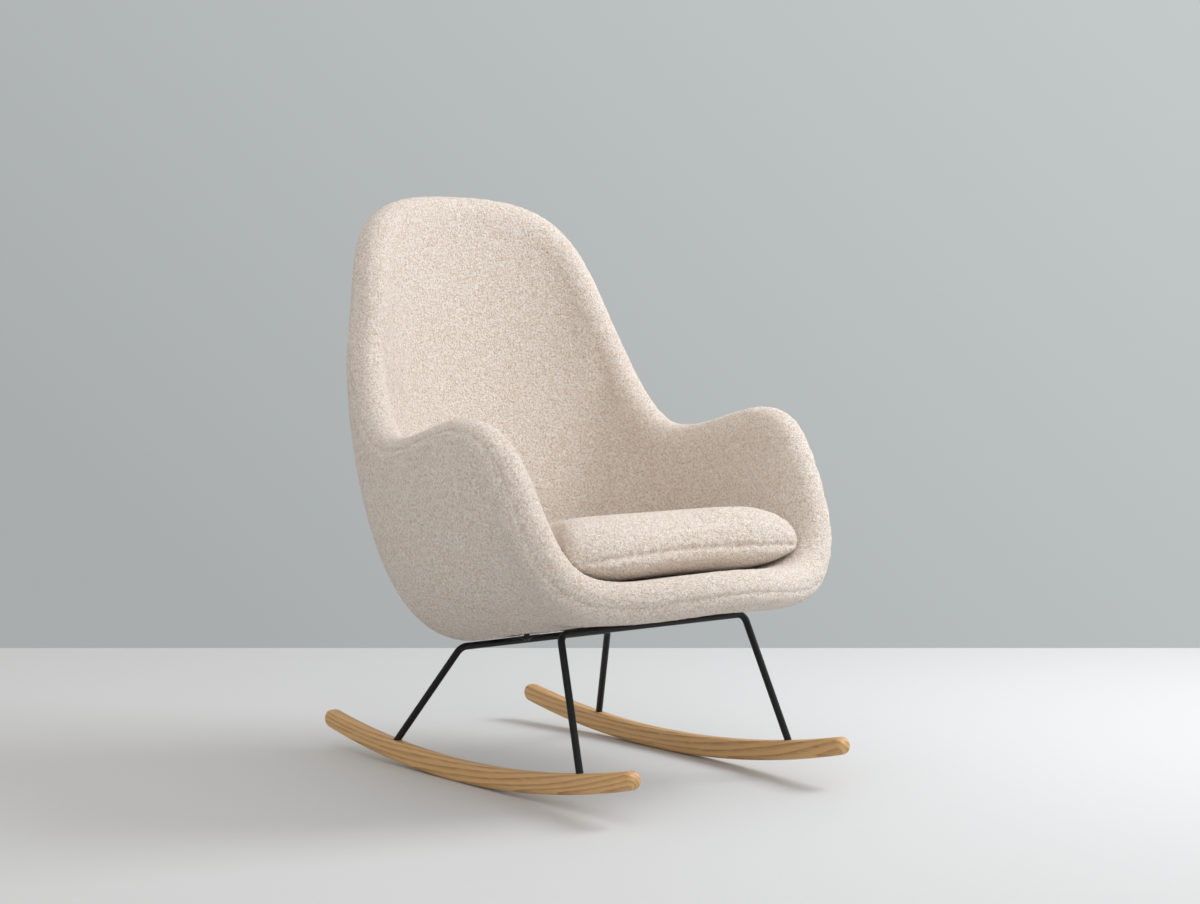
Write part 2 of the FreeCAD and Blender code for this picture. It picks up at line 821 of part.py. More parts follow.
def rocker(label, side):
    body = add_body(label)
    sketch = add_sketch(body, "YZ_Plane")
    rocker_outline(sketch)
    pad = add_step(body, "Pad", sketch, Midplane=True, Length=cell("rocker_width"))
    half = size("rocker_width") / 2
    rims = [
        "Edge%d" % (k + 1) for k, edge in enumerate(pad.Shape.Edges)
        if edge.BoundBox.XLength < 0.01 and abs(abs(edge.CenterOfMass.x) - half) < 0.01
    ]
    bevel = body.newObject("PartDesign::Chamfer", label + "_edges")
    bevel.Base = (pad, rims)
    bevel.setExpression("Size", "sizes.rocker_edge")
    body.Tip = bevel
    doc.recompute()
    stud = cell("stud_diameter") / 2 + cell("hole_clearance")
    sleeve = cell("sleeve_diameter") / 2 + cell("hole_clearance")
    shoulder, below = -cell("sleeve_depth"), -(cell("rocker_depth") * 1.5)
    for foot in ("front_foot_y", "rear_foot_y"):
        place = foot_place(size(foot))
        prism(body, place, [stud], shoulder - 1, 2, "Pocket")
        prism(body, place, [sleeve], below, shoulder, "Pocket")
    body.setExpression("Placement.Base.x", "sizes.rocker_spacing / 2 * %d" % side)
    return body


# Leg frames

def bar_place(bar_y):
    """Height of a crossbar's axis and its distance along the base, to the rear."""
    level = -HALF_WALL - size("bar_drop") - size("rod_diameter") / 2
    along = (bar_y - BASE.y - UP.y * level) / UP.z
    return BASE.z - UP.y * along + UP.z * level, along


def leg_frame(end):
    """One bent rod: half of it swept from the middle of the crossbar, then mirrored."""
    body = add_body(end + "_leg_frame")
    bar_y, foot_y = size(end + "_bar_y"), size(end + "_foot_y")
    bar_z = bar_place(bar_y)[0]
    foot_z = rocker_top(foot_y)[0]
    drop = math.hypot(foot_y - bar_y, foot_z - bar_z)
    lean = math.degrees(math.atan2(foot_z - bar_z, foot_y - bar_y))
    half, spread = size(end + "_bar_half"), size("rocker_spacing") / 2
    bend = size("bend_radius")
    leg = V(spread - half, drop, 0).normalize()
    corner = V(half, 0, 0)
    trim = bend * math.tan(math.atan2(leg.y, leg.x) / 2)
    past = 1 + 2 * size("rod_diameter") / drop

    path = add_sketch(body, "XY_Plane", FreeCAD.Placement(
        V(0, bar_y, bar_z), FreeCAD.Rotation(V(1, 0, 0), lean)))
    centre = V(half - trim, bend, 0)
    path.addGeometry([
        Part.LineSegment(V(0, 0, 0), V(half - trim, 0, 0)),
        arc(centre, bend, V(half - trim, 0, 0), corner + leg * trim),
        Part.LineSegment(corner + leg * trim, corner + (V(spread, drop, 0) - corner) * past),
    ], False)
    corner_point = path.addGeometry(Part.Point(corner), True)
    foot_point = path.addGeometry(Part.Point(V(spread, drop, 0)), True)
    path.addConstraint([
        Sketcher.Constraint("Coincident", 0, 1, -1, 1),
        Sketcher.Constraint("PointOnObject", 0, 2, -1),
        Sketcher.Constraint("Tangent", 0, 2, 1, 1),
        Sketcher.Constraint("Tangent", 1, 2, 2, 1),
        Sketcher.Constraint("PointOnObject", corner_point, 1, -1),
        Sketcher.Constraint("PointOnObject", corner_point, 1, 2),
        Sketcher.Constraint("PointOnObject", foot_point, 1, 2),
    ])
    bind(path, "Radius", 1, value=cell("bend_radius"))
    bind(path, "DistanceX", corner_point, 1, value=cell(end + "_bar_half"))
    bind_point(path, foot_point, 1, cell("rocker_spacing") / 2, drop)
    bind(path, "DistanceY", 2, 2, value=as_size(drop * past))

    profile = add_sketch(body, "YZ_Plane", FreeCAD.Placement(V(bar_y, bar_z, 0), FreeCAD.Rotation()))
    circle(profile, cell("rod_diameter") / 2)
    doc.recompute()
    pipe = add_step(body, "AdditivePipe", profile, Spine=(path, ["Edge1", "Edge2", "Edge3"]))
    path.Visibility = False
    mirrored(body, [pipe])

    # the feet are cut to the upper face of the rockers
    floor = add_sketch(body, "YZ_Plane")
    top, balance = cell("rocker_top_radius"), cell("balance_y")
    top_centre = V(balance.value, size("rocker_depth") + top.value, 0)
    reach = 2 * size("rod_diameter")
    left = V(foot_y - reach, rocker_top(foot_y - reach)[0], 0)
    right = V(foot_y + reach, rocker_top(foot_y + reach)[0], 0)
    low = -2 * size("rocker_depth")
    floor.addGeometry([
        arc(top_centre, top.value, left, right),
        Part.LineSegment(right, V(right.x, low, 0)),
        Part.LineSegment(V(right.x, low, 0), V(left.x, low, 0)),
        Part.LineSegment(V(left.x, low, 0), left),
    ], False)
    floor.addConstraint([
        Sketcher.Constraint("Coincident", 0, 2, 1, 1),
        Sketcher.Constraint("Coincident", 1, 2, 2, 1),
        Sketcher.Constraint("Coincident", 2, 2, 3, 1),
        Sketcher.Constraint("Coincident", 3, 2, 0, 1),
        Sketcher.Constraint("Vertical", 1),
        Sketcher.Constraint("Vertical", 3),
        Sketcher.Constraint("Horizontal", 2),
    ])
    bind(floor, "Radius", 0, value=top)
    bind_point(floor, 0, 3, balance, cell("rocker_depth") + top)
    foot = cell(end + "_foot_y")
    bind(floor, "DistanceX", 1, 1, value=foot + cell("rod_diameter") * 2)
    bind(floor, "DistanceX", 3, 2, value=foot - cell("rod_diameter") * 2)
    bind(floor, "DistanceY", 2, 1, value=cell("rocker_depth") * -2)
    add_step(body, "Pocket", floor, Midplane=True, Length=cell("rocker_spacing") * 2)
    return body


# Mounting tabs and fasteners, in the frame of the flat base

BASE_PLACE = FreeCAD.Placement(BASE, FreeCAD.Rotation(V(1, 0, 0), TILT))


def bolt_spot(end):
    """Place of the bolt along the base, to the rear, and which way its bar lies."""
    if end == "front":
        return -cell("front_bolt"), -1
    return cell("rear_bolt"), 1


def tab(end, label, side):
    body = add_body(label)
    body.Placement = BASE_PLACE
    bolt, way = bolt_spot(end)
    bar = as_size(bar_place(size(end + "_bar_y"))[1])
    top = -(cell("wall_thickness") / 2 + cell("bar_drop"))
    level = FreeCAD.Placement(V(0, 0, top.value), FreeCAD.Rotation())
    middle = cell("tab_offset") * side
    left, right = middle - cell("tab_width") / 2, middle + cell("tab_width") / 2
    welded, free = bar - cell("tab_edge") * way, bolt - cell("tab_margin") * way
    plate = add_sketch(body, "XY_Plane", level)
    polygon(plate, [(left, welded), (right, welded), (right, free), (left, free)])
    hole = octagon(cell("bolt_diameter") / 2 + cell("hole_clearance"))
    polygon(plate, [(middle + u, bolt + v) for u, v in hole])
    add_step(body, "Pad", plate, Reversed=True, Length=cell("tab_thickness"))
    saddle = add_sketch(body, "YZ_Plane")
    circle(saddle, cell("rod_diameter") / 2, bar, top - cell("rod_diameter") / 2)
    add_step(body, "Pocket", saddle, Midplane=True, Length=cell("rocker_spacing"))
    return body


def base_fastener(label, *prisms):
    """The same piece on the axes of all four tab bolts."""
    body = add_body(label)
    body.Placement = BASE_PLACE
    steps = []
    for end in ("front", "rear"):
        spot = V(size("tab_offset"), bolt_spot(end)[0].value, 0)
        place = FreeCAD.Placement(spot, FreeCAD.Rotation())
        steps += [prism(body, place, *numbers) for numbers in prisms]
    mirrored(body, steps)


def base_fasteners():
    shank, clear = cell("bolt_diameter") / 2, cell("hole_clearance")
    tab_top = -(cell("wall_thickness") / 2 + cell("bar_drop"))
    tab_low = tab_top - cell("tab_thickness")
    seat = tab_low - cell("washer_thickness")
    base_fastener("tab_washers", ([cell("washer_diameter") / 2, shank + clear], seat, tab_low))
    base_fastener(
        "tab_bolts",
        ([cell("bolt_head_diameter") / 2], seat - cell("bolt_head_height"), seat),
        ([shank], seat, seat + cell("bolt_length")),
    )
    mould_out = cell("cover_thickness") + cell("glue_line") - cell("wall_thickness") / 2
    base_fastener("shell_inserts", (
        [cell("insert_diameter") / 2, shank + clear], tab_top, mould_out + cell("moulding_thickness")))


def foot_fastener(label, *numbers):
    """The same piece at all four feet, square to the rockers."""
    body = add_body(label)
    across = size("rocker_spacing") / 2
    mirrored(body, [
        prism(body, foot_place(size(foot), across), *numbers)
        for foot in ("front_foot_y", "rear_foot_y")
    ])


def foot_fasteners():
    stud, clear = cell("stud_diameter") / 2, cell("hole_clearance")
    seat = -cell("sleeve_depth")
    foot_fastener("foot_studs", [stud], -cell("stud_length"), 0)
    foot_fastener(
        "foot_nuts", [cell("sleeve_diameter") / 2, stud + clear], seat - cell("sleeve_length"), seat)


def write_parts():
    """Check every object, then write one file for each piece."""
    doc.recompute()
    for obj in doc.Objects:
        if "Invalid" in obj.State or "Error" in obj.State:
            raise RuntimeError("%s did not compute: %s" % (obj.Label, obj.State))
    os.makedirs("parts", exist_ok=True)
    for obj in doc.Objects:
        if obj.TypeId not in ("PartDesign::Body", "Part::Feature"):
            continue
        shape = obj.Shape
        if shape.isNull() or not shape.isValid() or shape.Volume <= 0:
            raise RuntimeError("%s has no sound shape" % obj.Label)
        shape.exportStep("parts/" + obj.Label + ".step")
        box = shape.BoundBox
        print("%-22s solids %d  volume %9.1f cm3  y %7.1f %7.1f  z %6.1f %6.1f" % (
            obj.Label, len(shape.Solids), shape.Volume / 1000, box.YMin, box.YMax, box.ZMin, box.ZMax))


rocker("rocker_left", 1)
rocker("rocker_right", -1)
for frame_end in ("front", "rear"):
    leg_frame(frame_end)
    tab(frame_end, frame_end + "_tab_left", 1)
    tab(frame_end, frame_end + "_tab_right", -1)
base_fasteners()
foot_fasteners()
outside_cover()
moulded_shell()
shell_foam()
inside_cover()
seat_cushion()
write_parts()
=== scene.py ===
import math

import bpy
import numpy as np
from bpy.props import FloatProperty, FloatVectorProperty, IntProperty, PointerProperty
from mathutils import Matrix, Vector, noise
from mathutils.bvhtree import BVHTree


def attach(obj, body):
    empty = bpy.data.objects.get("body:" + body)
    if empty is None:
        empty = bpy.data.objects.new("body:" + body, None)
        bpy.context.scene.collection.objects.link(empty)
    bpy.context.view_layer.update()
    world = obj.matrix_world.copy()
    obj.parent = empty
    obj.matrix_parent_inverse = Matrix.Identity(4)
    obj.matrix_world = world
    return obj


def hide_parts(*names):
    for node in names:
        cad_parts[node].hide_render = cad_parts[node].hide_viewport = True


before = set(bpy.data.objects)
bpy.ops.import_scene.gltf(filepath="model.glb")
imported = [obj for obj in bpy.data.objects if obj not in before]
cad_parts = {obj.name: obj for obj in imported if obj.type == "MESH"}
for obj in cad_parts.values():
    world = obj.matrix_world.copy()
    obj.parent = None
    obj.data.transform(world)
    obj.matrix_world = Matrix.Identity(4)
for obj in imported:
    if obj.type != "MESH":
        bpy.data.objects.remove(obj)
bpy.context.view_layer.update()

bl_info = {
    "name": "Upholstered Rocking Chair",
    "version": (1, 0, 0),
    "blender": (4, 5, 0),
    "location": "View3D > Sidebar > Chair",
    "description": "Dresses the packed rocking chair in looped wool, oak and black rod",
    "category": "Object",
}

# Half of the rim's middle line, from the top of the back round to the front
# lip, in metres: side, depth and height. Then, in degrees, the way the wall
# below sets out from the base and how far the cover seam lies over the rim.
RIM_STATIONS = (
    (0.000, 0.368, 0.948, 0, 75),
    (0.172, 0.326, 0.913, 21, 75),
    (0.238, 0.268, 0.783, 38, 75),
    (0.269, 0.231, 0.678, 53, 75),
    (0.301, 0.105, 0.543, 71, 72),
    (0.319, -0.106, 0.577, 98, 62),
    (0.307, -0.213, 0.522, 119, 52),
    (0.288, -0.276, 0.402, 136, 38),
    (0.200, -0.327, 0.331, 153, 20),
    (0.000, -0.377, 0.337, 180, 12),
)
FIRST_SHARE = 0.62  # a wall's first control point, from the base to the turn
FLAT_SHARE = 0.85  # of the way to that point the base stays flat
THIRD_SHARE = 0.553  # third control point, from the turn to the rim
REAR_SQUARENESS = 2.0  # of the loop that the walls bend round
FRONT_SQUARENESS = 2.3
FRONT_POWER = 6.0  # squareness of the cushion's front outline
EDGE_POWER = 5.0  # fullness of the cushion's lower edge
RIM_LIMIT = 0.99  # share of a wall that its seam never passes
LIMIT_POWER = 14.0  # how tightly its seam keeps to the nearest of its limits
CORNER_POWER = 2  # how closely droop and overhang keep to the front corners
SPREAD_POWER = 2.4  # how far in under the cushion its overhang begins
CROWN_POWER = 0.62  # fullness of the cushion's top
CROWN_FLAT = 0.3  # share of the cushion that stays flat on top
# Share of the back's and of the arm's bulge in the wall's bulge at each station.
BULGE_SHARES = ((1, 0), (1, 0), (1, 0), (0.7, 0.3), (0, 1), (0, 1), (0, 1), (0, 0.5), (0, 0), (0, 0))

# Fineness of the surfaces
CURVE_ROUNDS = 60  # rounds that settle the poles of a closed curve
WALL_SAMPLES = 121  # up a wall while its rows are spread
SEAT_SAMPLES = 81  # up the seat while the cushion's edge is sought
BACK_ROWS = 26  # rows up the hidden back of a cover
BACK_STRIDE = 3  # rows of a cover's rim to one row behind it
MIDDLE_RING = 0.04  # innermost ring of a cover, as a share of the flat base
BACK_RING = 0.05  # the same behind the cover
CROWDING = 1.7  # how closely a cover's rows crowd towards its seam
EASE_ROUNDS = 8  # rounds that draw out the bend into the rim
EASE_SHARE = 0.5  # most that one round moves a point
CASE_COLUMNS = 16  # columns of the cushion's case between two rim stations
CASE_STEPS = 24  # rows of each of its panels
ARC_POINTS = 90  # points along each face of a rocker
TIP_POINTS = 10  # points round half of a rocker's tip
EDGE_STEPS = 9  # points round a rocker's edge
BORE_SIDES = 28
TURNED_SIDES = 36  # sides of a turned fastener
SHARP_ANGLE = math.radians(40)  # above it a rocker's edge stays sharp
CRISP_ANGLE = math.radians(35)  # above it a fastener's edge does

# Wool loops, seams and folds
LOOP_BEND = 0.6  # push of the clumps of loops off their places, in clumps
LOOP_BEND_PACE = 0.7  # how quickly that push changes
LOOP_SEED = 1  # of that push, which Blender draws by the clock when no seed is set
LOOP_REACH = 0.8  # from the middle of a clump to its foot, in clumps
HIDDEN_GAP = 0.0012  # between the back of a cover and the layer below it
COVER_FOLDS = (0.3, 0.7)  # row of the noise that the covers' folds follow
COVER_FOLD_SHARE = 0.4  # depth that those folds keep on average
GAP_POWER = 3  # how late the gap below the cushion widens to its side gap
SEAM_BAND = 0.035  # most distance from the cushion's seam that its folds reach
SEAM_WAVER = 0.0014  # how far its seam wanders
SEAM_WAVER_PACE = 0.035
SEAM_DEPTH = 0.0030
SEAM_WIDTH = 0.0042
CASE_FOLD_DEPTH = 0.0022
CASE_FOLD_REACH = 0.012
CASE_FOLD_PACE = 0.011  # length of seam from one fold to the next
CASE_FOLD_SLANT = 20  # how quickly a fold changes away from the seam
CASE_FOLD_SHARE = 0.35
FILL_FRAMES = 20  # frames in which the filling settles
UNDERSIDE_HOLD = 0.9  # share of the swell that the seat holds back below
CASE_CLOTH = {
    "quality": 5, "mass": 0.3, "tension_stiffness": 12, "compression_stiffness": 12,
    "shear_stiffness": 4, "bending_stiffness": 0.6, "use_pressure": True,
}

# Small forms of the rockers and the fasteners
SIDE_BORDER = 0.0006  # ring round the flat side of a rocker, inside its rounded edge
BORE_CLEARANCE = 0.0003
BORE_ABOVE = 0.004
BORE_BELOW = -0.06
EDGE_BREAK = 0.0003  # broken edges of a washer
WASHER_GAP = 0.0001
BOLT_TIP = (0.0006, 0.0008)  # inset and length of the bevel at the end of a bolt
HEAD_GAP = 0.0002
HEAD_RIM = (0.0002, 0.0006)  # inset and depth of the rim under a bolt's head
HEAD_DOME = ((0.0003, 0.45), (0.0012, 0.8), (0.0022, 1.0))  # inset, share of the head's height
BOLT_SOCKET = ((0.0025, 1.0, 6), (0.0025, 0.4, 6), (0.0004, 0.32, 0))  # radius, that share, flats
SLEEVE_EDGE = 0.0004
SLEEVE_SOCKET = ((0.0026, 0.0, 6), (0.0026, 0.003, 6), (0.0005, 0.0034, 0))  # radius, depth, flats

# Stage
FLOOR_SIDE = 9  # metres of floor to each side of the camera
FLOOR_BEHIND = 8
SENSOR = 36  # millimetres
FAR = 100
WALL_SLOPE = (0.52, 0.55)  # painted light: how quickly the backdrop's colour brightens to the right and upwards
WALL_RANGE = (0.84, 1.22)
FILL_COLOUR = (1, 0.97, 0.93)
AIM = (0, 0, 0.45)
COOL = (0.94, 0.972, 1.0)
WARM = (1.0, 0.93, 0.85)
# Way to each lamp to the right, ahead and up, its size, share of the key light and colour.
LAMPS = {
    "key_light": ((2.2, 0.45, 1.75), 1.4, 1.0, COOL),
    "top_light": ((0, -0.2, 2.6), 2.2, 0.07, COOL),
    "front_light": ((0.3, -2.0, 1.9), 1.8, 0.10, WARM),
}


def number(name, description, default, **kind):
    return FloatProperty(name=name, description=description, default=default, **kind)


def length(name, description, default):
    return number(name, description, default, unit="LENGTH")


def lengths(name, description, default):
    return FloatVectorProperty(
        name=name, description=description, default=default, size=len(default), unit="LENGTH")


def tint(name, description, default):
    return FloatVectorProperty(
        name=name, description=description, default=default, size=3, subtype="COLOR")


class ShellSizes(bpy.types.PropertyGroup):
    """Sizes of the upholstered shell."""

    wall: length("Wall", "Thickness of the upholstered wall", 0.066)
    cloth: length("Cloth", "Thickness of a cover", 0.0026)
    base_y: length("Base Depth", "Middle of the flat base, from the middle of the rockers", -0.045)
    base_z: length("Base Height", "Middle of the wall at the flat base", 0.2816)
    base_fall: number("Base Fall", "Drop of the base towards the back, per unit of depth", 0.186)
    turn_half: length("Turn Half Width", "Half width of the loop that the walls bend round", 0.297)
    turn_rear: lengths("Turn Rear", "Depth and height of that loop at the back", (0.233, 0.167))
    turn_front: lengths(
        "Turn Front", "Depth and height of that loop at the front", (-0.270, 0.318))
    back_bulge: length("Back Bulge", "How far the back bows out", 0.042)
    arm_bulge: length("Arm Bulge", "How far the arms bow out", 0.012)
    seam_depth: length("Seam Depth", "How deep the covers tuck in along their seam", 0.0018)
    seam_width: length("Seam Width", "Half width of the tuck along the seam", 0.0042)
    fold_depth: length("Fold Depth", "Depth of the small folds along the seam", 0.0024)
    fold_width: length("Fold Width", "Length of seam from one small fold to the next", 0.014)
    fold_reach: length("Fold Reach", "How far the small folds run out from the seam", 0.013)
    ease: length("Ease", "Length over which a wall bends into its rolled rim", 0.032)
    columns: IntProperty(
        name="Columns", description="Columns of faces between two rim stations",
        default=28, min=4)
    pile: length("Pile", "Height of the loops of the wool", 0.0015)
    pile_cell: length("Loop Spacing", "Distance between clumps of loops", 0.0078)


class CushionSizes(bpy.types.PropertyGroup):
    """Sizes of the loose seat cushion."""

    seam_height: length("Seam Height", "Seam above the covered seat", 0.031)
    droop: length("Droop", "Droop of the seam towards the front corners", 0.016)
    overhang: length("Overhang", "Reach of the seam beyond the seat at the front corners", 0.042)
    crown: length("Crown", "Top of the cushion above its seam", 0.066)
    front: length("Front", "Front seam from the middle of the base", 0.283)
    front_half: length("Front Half Width", "Half width that the front corners turn in from", 0.268)
    gap: length("Gap", "Between the cushion and the covered seat", 0.0008)
    side_gap: length("Side Gap", "Between the cushion and the walls at the seam", 0.005)
    rounding: IntProperty(
        name="Rounding", description="Rounds of smoothing of the case before it is filled",
        default=24, min=0)
    swell: length("Swell", "Most that a point of the case moves when it is filled", 0.009)
    pressure: number("Pressure", "Push of the filling on the case", 4.0)
    voxel: length("Voxel", "Mesh size of the case while it is filled", 0.006)
    clearance: length("Clearance", "Least distance of the cushion from the shell's cover", 0.0015)


class Fasteners(bpy.types.PropertyGroup):
    """Sizes of the bolts, washers and sleeve nuts."""

    tab_offset: length("Tab Offset", "Middle plane to the middle of a mounting tab", 0.070)
    front_bolt: length("Front Bolt", "Bolts forwards from the middle of the base", 0.088)
    rear_bolt: length("Rear Bolt", "Bolts backwards from the middle of the base", 0.100)
    tab_low: length("Tab Low", "Underside of a tab, from the middle of the wall", -0.0406)
    washer: lengths(
        "Washer", "Radius, bore radius and thickness of a washer", (0.008, 0.0033, 0.0016))
    bolt: lengths(
        "Bolt", "Head radius, shank radius, head height and length of a bolt",
        (0.0055, 0.003, 0.004, 0.018))
    sleeve: lengths(
        "Sleeve Nut", "Radius, bore radius and length of a sleeve nut", (0.0055, 0.0033, 0.009))
    sleeve_depth: length("Sleeve Depth", "Top of a rocker to the top of a sleeve nut", 0.018)
    feet: lengths("Feet", "Side, front depth and rear depth of the feet", (0.2235, -0.288, 0.212))


class RockerSizes(bpy.types.PropertyGroup):
    """Sizes of the two oak rockers."""

    reach: length("Reach", "Middle of the chair to the centre of a rounded tip", 0.410)
    balance: length("Balance", "Depth at which the rockers touch the floor", 0.0404)
    radius: length("Radius", "Radius of the running face", 1.890)
    top_radius: length("Top Radius", "Radius of the upper face", 2.105)
    depth: length("Depth", "Height of a rocker at its lowest point", 0.036)
    width: length("Width", "Width of a rocker", 0.026)
    edge: length("Edge", "Radius of the rounded edges", 0.0085)


class Colours(bpy.types.PropertyGroup):
    """Colours of the finishes."""

    wool_light: tint("Wool Light", "Tips of the wool loops", (1.0, 0.935, 0.882))
    # The hollow colour below is painted shade: darker and warmer in the hollows between the loops,
    # standing in for their shade and the warm light bounced into them. The random darker patches also lean
    # towards it.
    wool_hollow_shade: tint("Wool Deep", "Hollows between the wool loops", (0.69, 0.54, 0.42))
    oak_light: tint("Oak Light", "Early wood of the rockers", (0.635, 0.385, 0.165))
    oak_dark: tint("Oak Dark", "Late wood and pores of the rockers", (0.345, 0.18, 0.068))
    rod: tint("Rod", "Powder coat of the leg frames", (0.006, 0.006, 0.0065))
    steel: tint("Steel", "Blackened fasteners", (0.075, 0.075, 0.078))
    moulding: tint("Moulding", "Moulded shell inside the upholstery", (0.09, 0.09, 0.095))


class Stage(bpy.types.PropertyGroup):
    """Floor, backdrop, lights and camera."""

    floor: tint("Floor", "Colour of the floor", (0.615, 0.626, 0.64))
    wall: tint("Wall", "Colour of the backdrop", (0.466, 0.492, 0.493))
    key: number("Key Light", "Strength of the main light", 61.5, unit="POWER")
    fill: number("Fill Light", "Strength of the even light all round", 0.745)
    camera_place: FloatVectorProperty(
        name="Camera Place", description="Where the camera stands",
        default=(-2.535, -3.167, 0.803), size=3, subtype="XYZ", unit="LENGTH")
    camera_yaw: number(
        "Camera Yaw", "Way the camera looks, from straight ahead", math.radians(39.25), subtype="ANGLE")
    camera_pitch: number(
        "Camera Pitch", "How far the camera looks down", math.radians(3.72), subtype="ANGLE")
    lens: number("Lens", "Focal length in millimetres on a 36 mm frame", 72.0)
    floor_end: length("Floor End", "Where the floor ends, from the camera", 5.445)


# Surfaces of rings and columns

def loop_samples(values, per_gap):
    """Points on the closed cubic curve through a loop of values."""
    values = np.asarray(values, float)
    poles = values.copy()
    for _ in range(CURVE_ROUNDS):
        poles = (6 * values - np.roll(poles, 1, 0) - np.roll(poles, -1, 0)) / 4
    t = np.arange(per_gap) / per_gap
    weights = np.stack([
        (1 - t) ** 3 / 6,
        (3 * t ** 3 - 6 * t ** 2 + 4) / 6,
        (-3 * t ** 3 + 3 * t ** 2 + 3 * t + 1) / 6,
        t ** 3 / 6,
    ])
    near = np.stack([np.roll(poles, shift, 0) for shift in (1, 0, -1, -2)])
    return np.einsum("wp,wn...->np...", weights, near).reshape((-1,) + values.shape[1:])


def unit(vectors):
    return vectors / np.linalg.norm(vectors, axis=-1, keepdims=True)


def even_ways(columns, count):
    """Each column of points spread evenly along its own length."""
    steps = np.linalg.norm(np.diff(columns, axis=1), axis=2)
    return np.stack([
        np.interp(np.linspace(0, s.sum(), count), np.concatenate([[0], s.cumsum()]),
                  np.linspace(0, 1, len(s) + 1))
        for s in steps
    ])


def curve_points(poles, shares):
    """Points of the Bezier curve over each column's poles."""
    n = poles.shape[1] - 1
    weights = [math.comb(n, k) * (1 - shares) ** (n - k) * shares ** k for k in range(n + 1)]
    return np.einsum("kij,ikc->ijc", np.stack(weights), poles)


class ShellForm:
    """Middle surface of the shell and the faces at a distance from it."""

    def __init__(self, sizes, per_gap):
        self.sizes = sizes
        stations = np.array(RIM_STATIONS, float)
        mirror = stations[-2:0:-1] * (-1, 1, 1, 1, 1)
        self.up = unit(np.array([0, sizes.base_fall, 1.0]))
        self.forward = np.array([0, -self.up[2], self.up[1]])
        self.base = np.array([0, sizes.base_y, sizes.base_z])
        self.inner = sizes.wall / 2
        rims = loop_samples(np.vstack([stations, mirror])[:, :3], per_gap)
        self.seams = np.radians(loop_samples(np.concatenate([stations, mirror])[:, 4], per_gap))
        even = 180 / (len(stations) - 1)
        swing = stations[:, 3] - even * np.arange(len(stations))
        swing = loop_samples(np.concatenate([swing, -swing[-2:0:-1]]), per_gap)
        ways = np.radians(swing + 360 * np.arange(len(swing)) / len(swing))
        bulges = [back * sizes.back_bulge + arm * sizes.arm_bulge for back, arm in BULGE_SHARES]
        bulges = loop_samples(bulges + bulges[-2:0:-1], per_gap)
        turns = self.turn_points(ways)
        first = self.base + (turns - self.base) * FIRST_SHARE
        first -= np.outer((first - self.base) @ self.up, self.up)
        outwards = np.stack([np.sin(ways), np.cos(ways), 0 * ways], 1)
        third = turns + (rims - turns) * THIRD_SHARE + outwards * bulges[:, None]
        flat = self.base + (first - self.base) * FLAT_SHARE
        self.walls = np.stack([flat, first, turns, third, rims], 1)
        self.count = len(rims)

    def turn_points(self, ways):
        """Points of the loop that the walls bend round."""
        c, s = np.cos(ways), np.sin(ways)
        power = REAR_SQUARENESS + (FRONT_SQUARENESS - REAR_SQUARENESS) * (0.5 - 0.5 * c)
        reach = (np.abs(c) ** power + np.abs(s) ** power) ** (-1 / power)
        rear, front = self.sizes.turn_rear, self.sizes.turn_front
        y = (rear[0] + front[0]) / 2 + (rear[0] - front[0]) / 2 * reach * c
        rise = (rear[1] - front[1]) / (rear[0] - front[0])
        return np.stack([self.sizes.turn_half * reach * s, y, front[1] + rise * (y - front[0])], 1)

    def middle(self, shares):
        """Points of the middle surface; shares holds a row for each column."""
        return curve_points(self.walls, shares)

    def slope(self, shares):
        return curve_points(np.diff(self.walls, axis=1), shares)

    def normals(self, shares):
        """Unit vectors into the sitting space."""
        points = self.middle(shares)
        along = np.roll(points, -1, 0) - np.roll(points, 1, 0)
        return unit(np.cross(along, self.slope(shares)))

    def face(self, shares, distance):
        return self.middle(shares) + self.normals(shares) * distance

    def shares(self, count, distance):
        """Rows of a face that lie evenly up each wall."""
        fine = np.tile(np.linspace(0, 1, WALL_SAMPLES), (self.count, 1))
        return even_ways(self.face(fine, distance), count)

    def rim(self, radii, angles):
        """Points round the rim's edge, 0 at the inside and half a turn outside."""
        ones = np.ones((self.count, 1))
        point, inwards = self.middle(ones)[:, 0], self.normals(ones)[:, 0]
        along = unit(np.roll(point, -1, 0) - np.roll(point, 1, 0))
        off = self.slope(ones)[:, 0]
        off = unit(off - along * np.sum(off * along, 1, keepdims=True))
        reach = (inwards[:, None] * np.cos(angles)[..., None]
                 + off[:, None] * np.sin(angles)[..., None])
        return point[:, None] + reach * radii[..., None]


def ring_faces(count, rings):
    """Quads between neighbouring rings, then fans that close the first and the last."""
    i = np.arange(count)
    j = (i + 1) % count
    faces = []
    for k in range(rings - 1):
        a, b = k * count, (k + 1) * count
        faces.append(np.stack([a + i, a + j, b + j, b + i], 1))
    first, last = rings * count, rings * count + 1
    end = (rings - 1) * count
    fans = [(first, int(q), int(p)) for p, q in zip(i, j)]
    fans += [(last, int(end + p), int(end + q)) for p, q in zip(i, j)]
    return np.concatenate(faces).tolist() + fans


def ring_points(columns):
    """Points of columns ring by ring, then the middles of the first and the last ring."""
    rows = columns.transpose(1, 0, 2).reshape(-1, 3)
    return np.concatenate([rows, [columns[:, 0].mean(0)], [columns[:, -1].mean(0)]])


def outward_mesh(name, points, faces):
    """Closed mesh with its faces turned outwards."""
    mesh = bpy.data.meshes.new(name)
    mesh.from_pydata(points, [], faces)
    mesh.update()
    turn_outwards(mesh)
    return mesh


def closed_mesh(name, columns):
    """Closed mesh through columns of points."""
    return outward_mesh(name, ring_points(columns).tolist(), ring_faces(*columns.shape[:2]))


def coordinates(mesh):
    flat = np.empty(len(mesh.vertices) * 3)
    mesh.vertices.foreach_get("co", flat)
    return flat.reshape(-1, 3)


def move_vertices(mesh, points):
    mesh.vertices.foreach_set("co", np.ascontiguousarray(points, float).ravel())
    mesh.update()


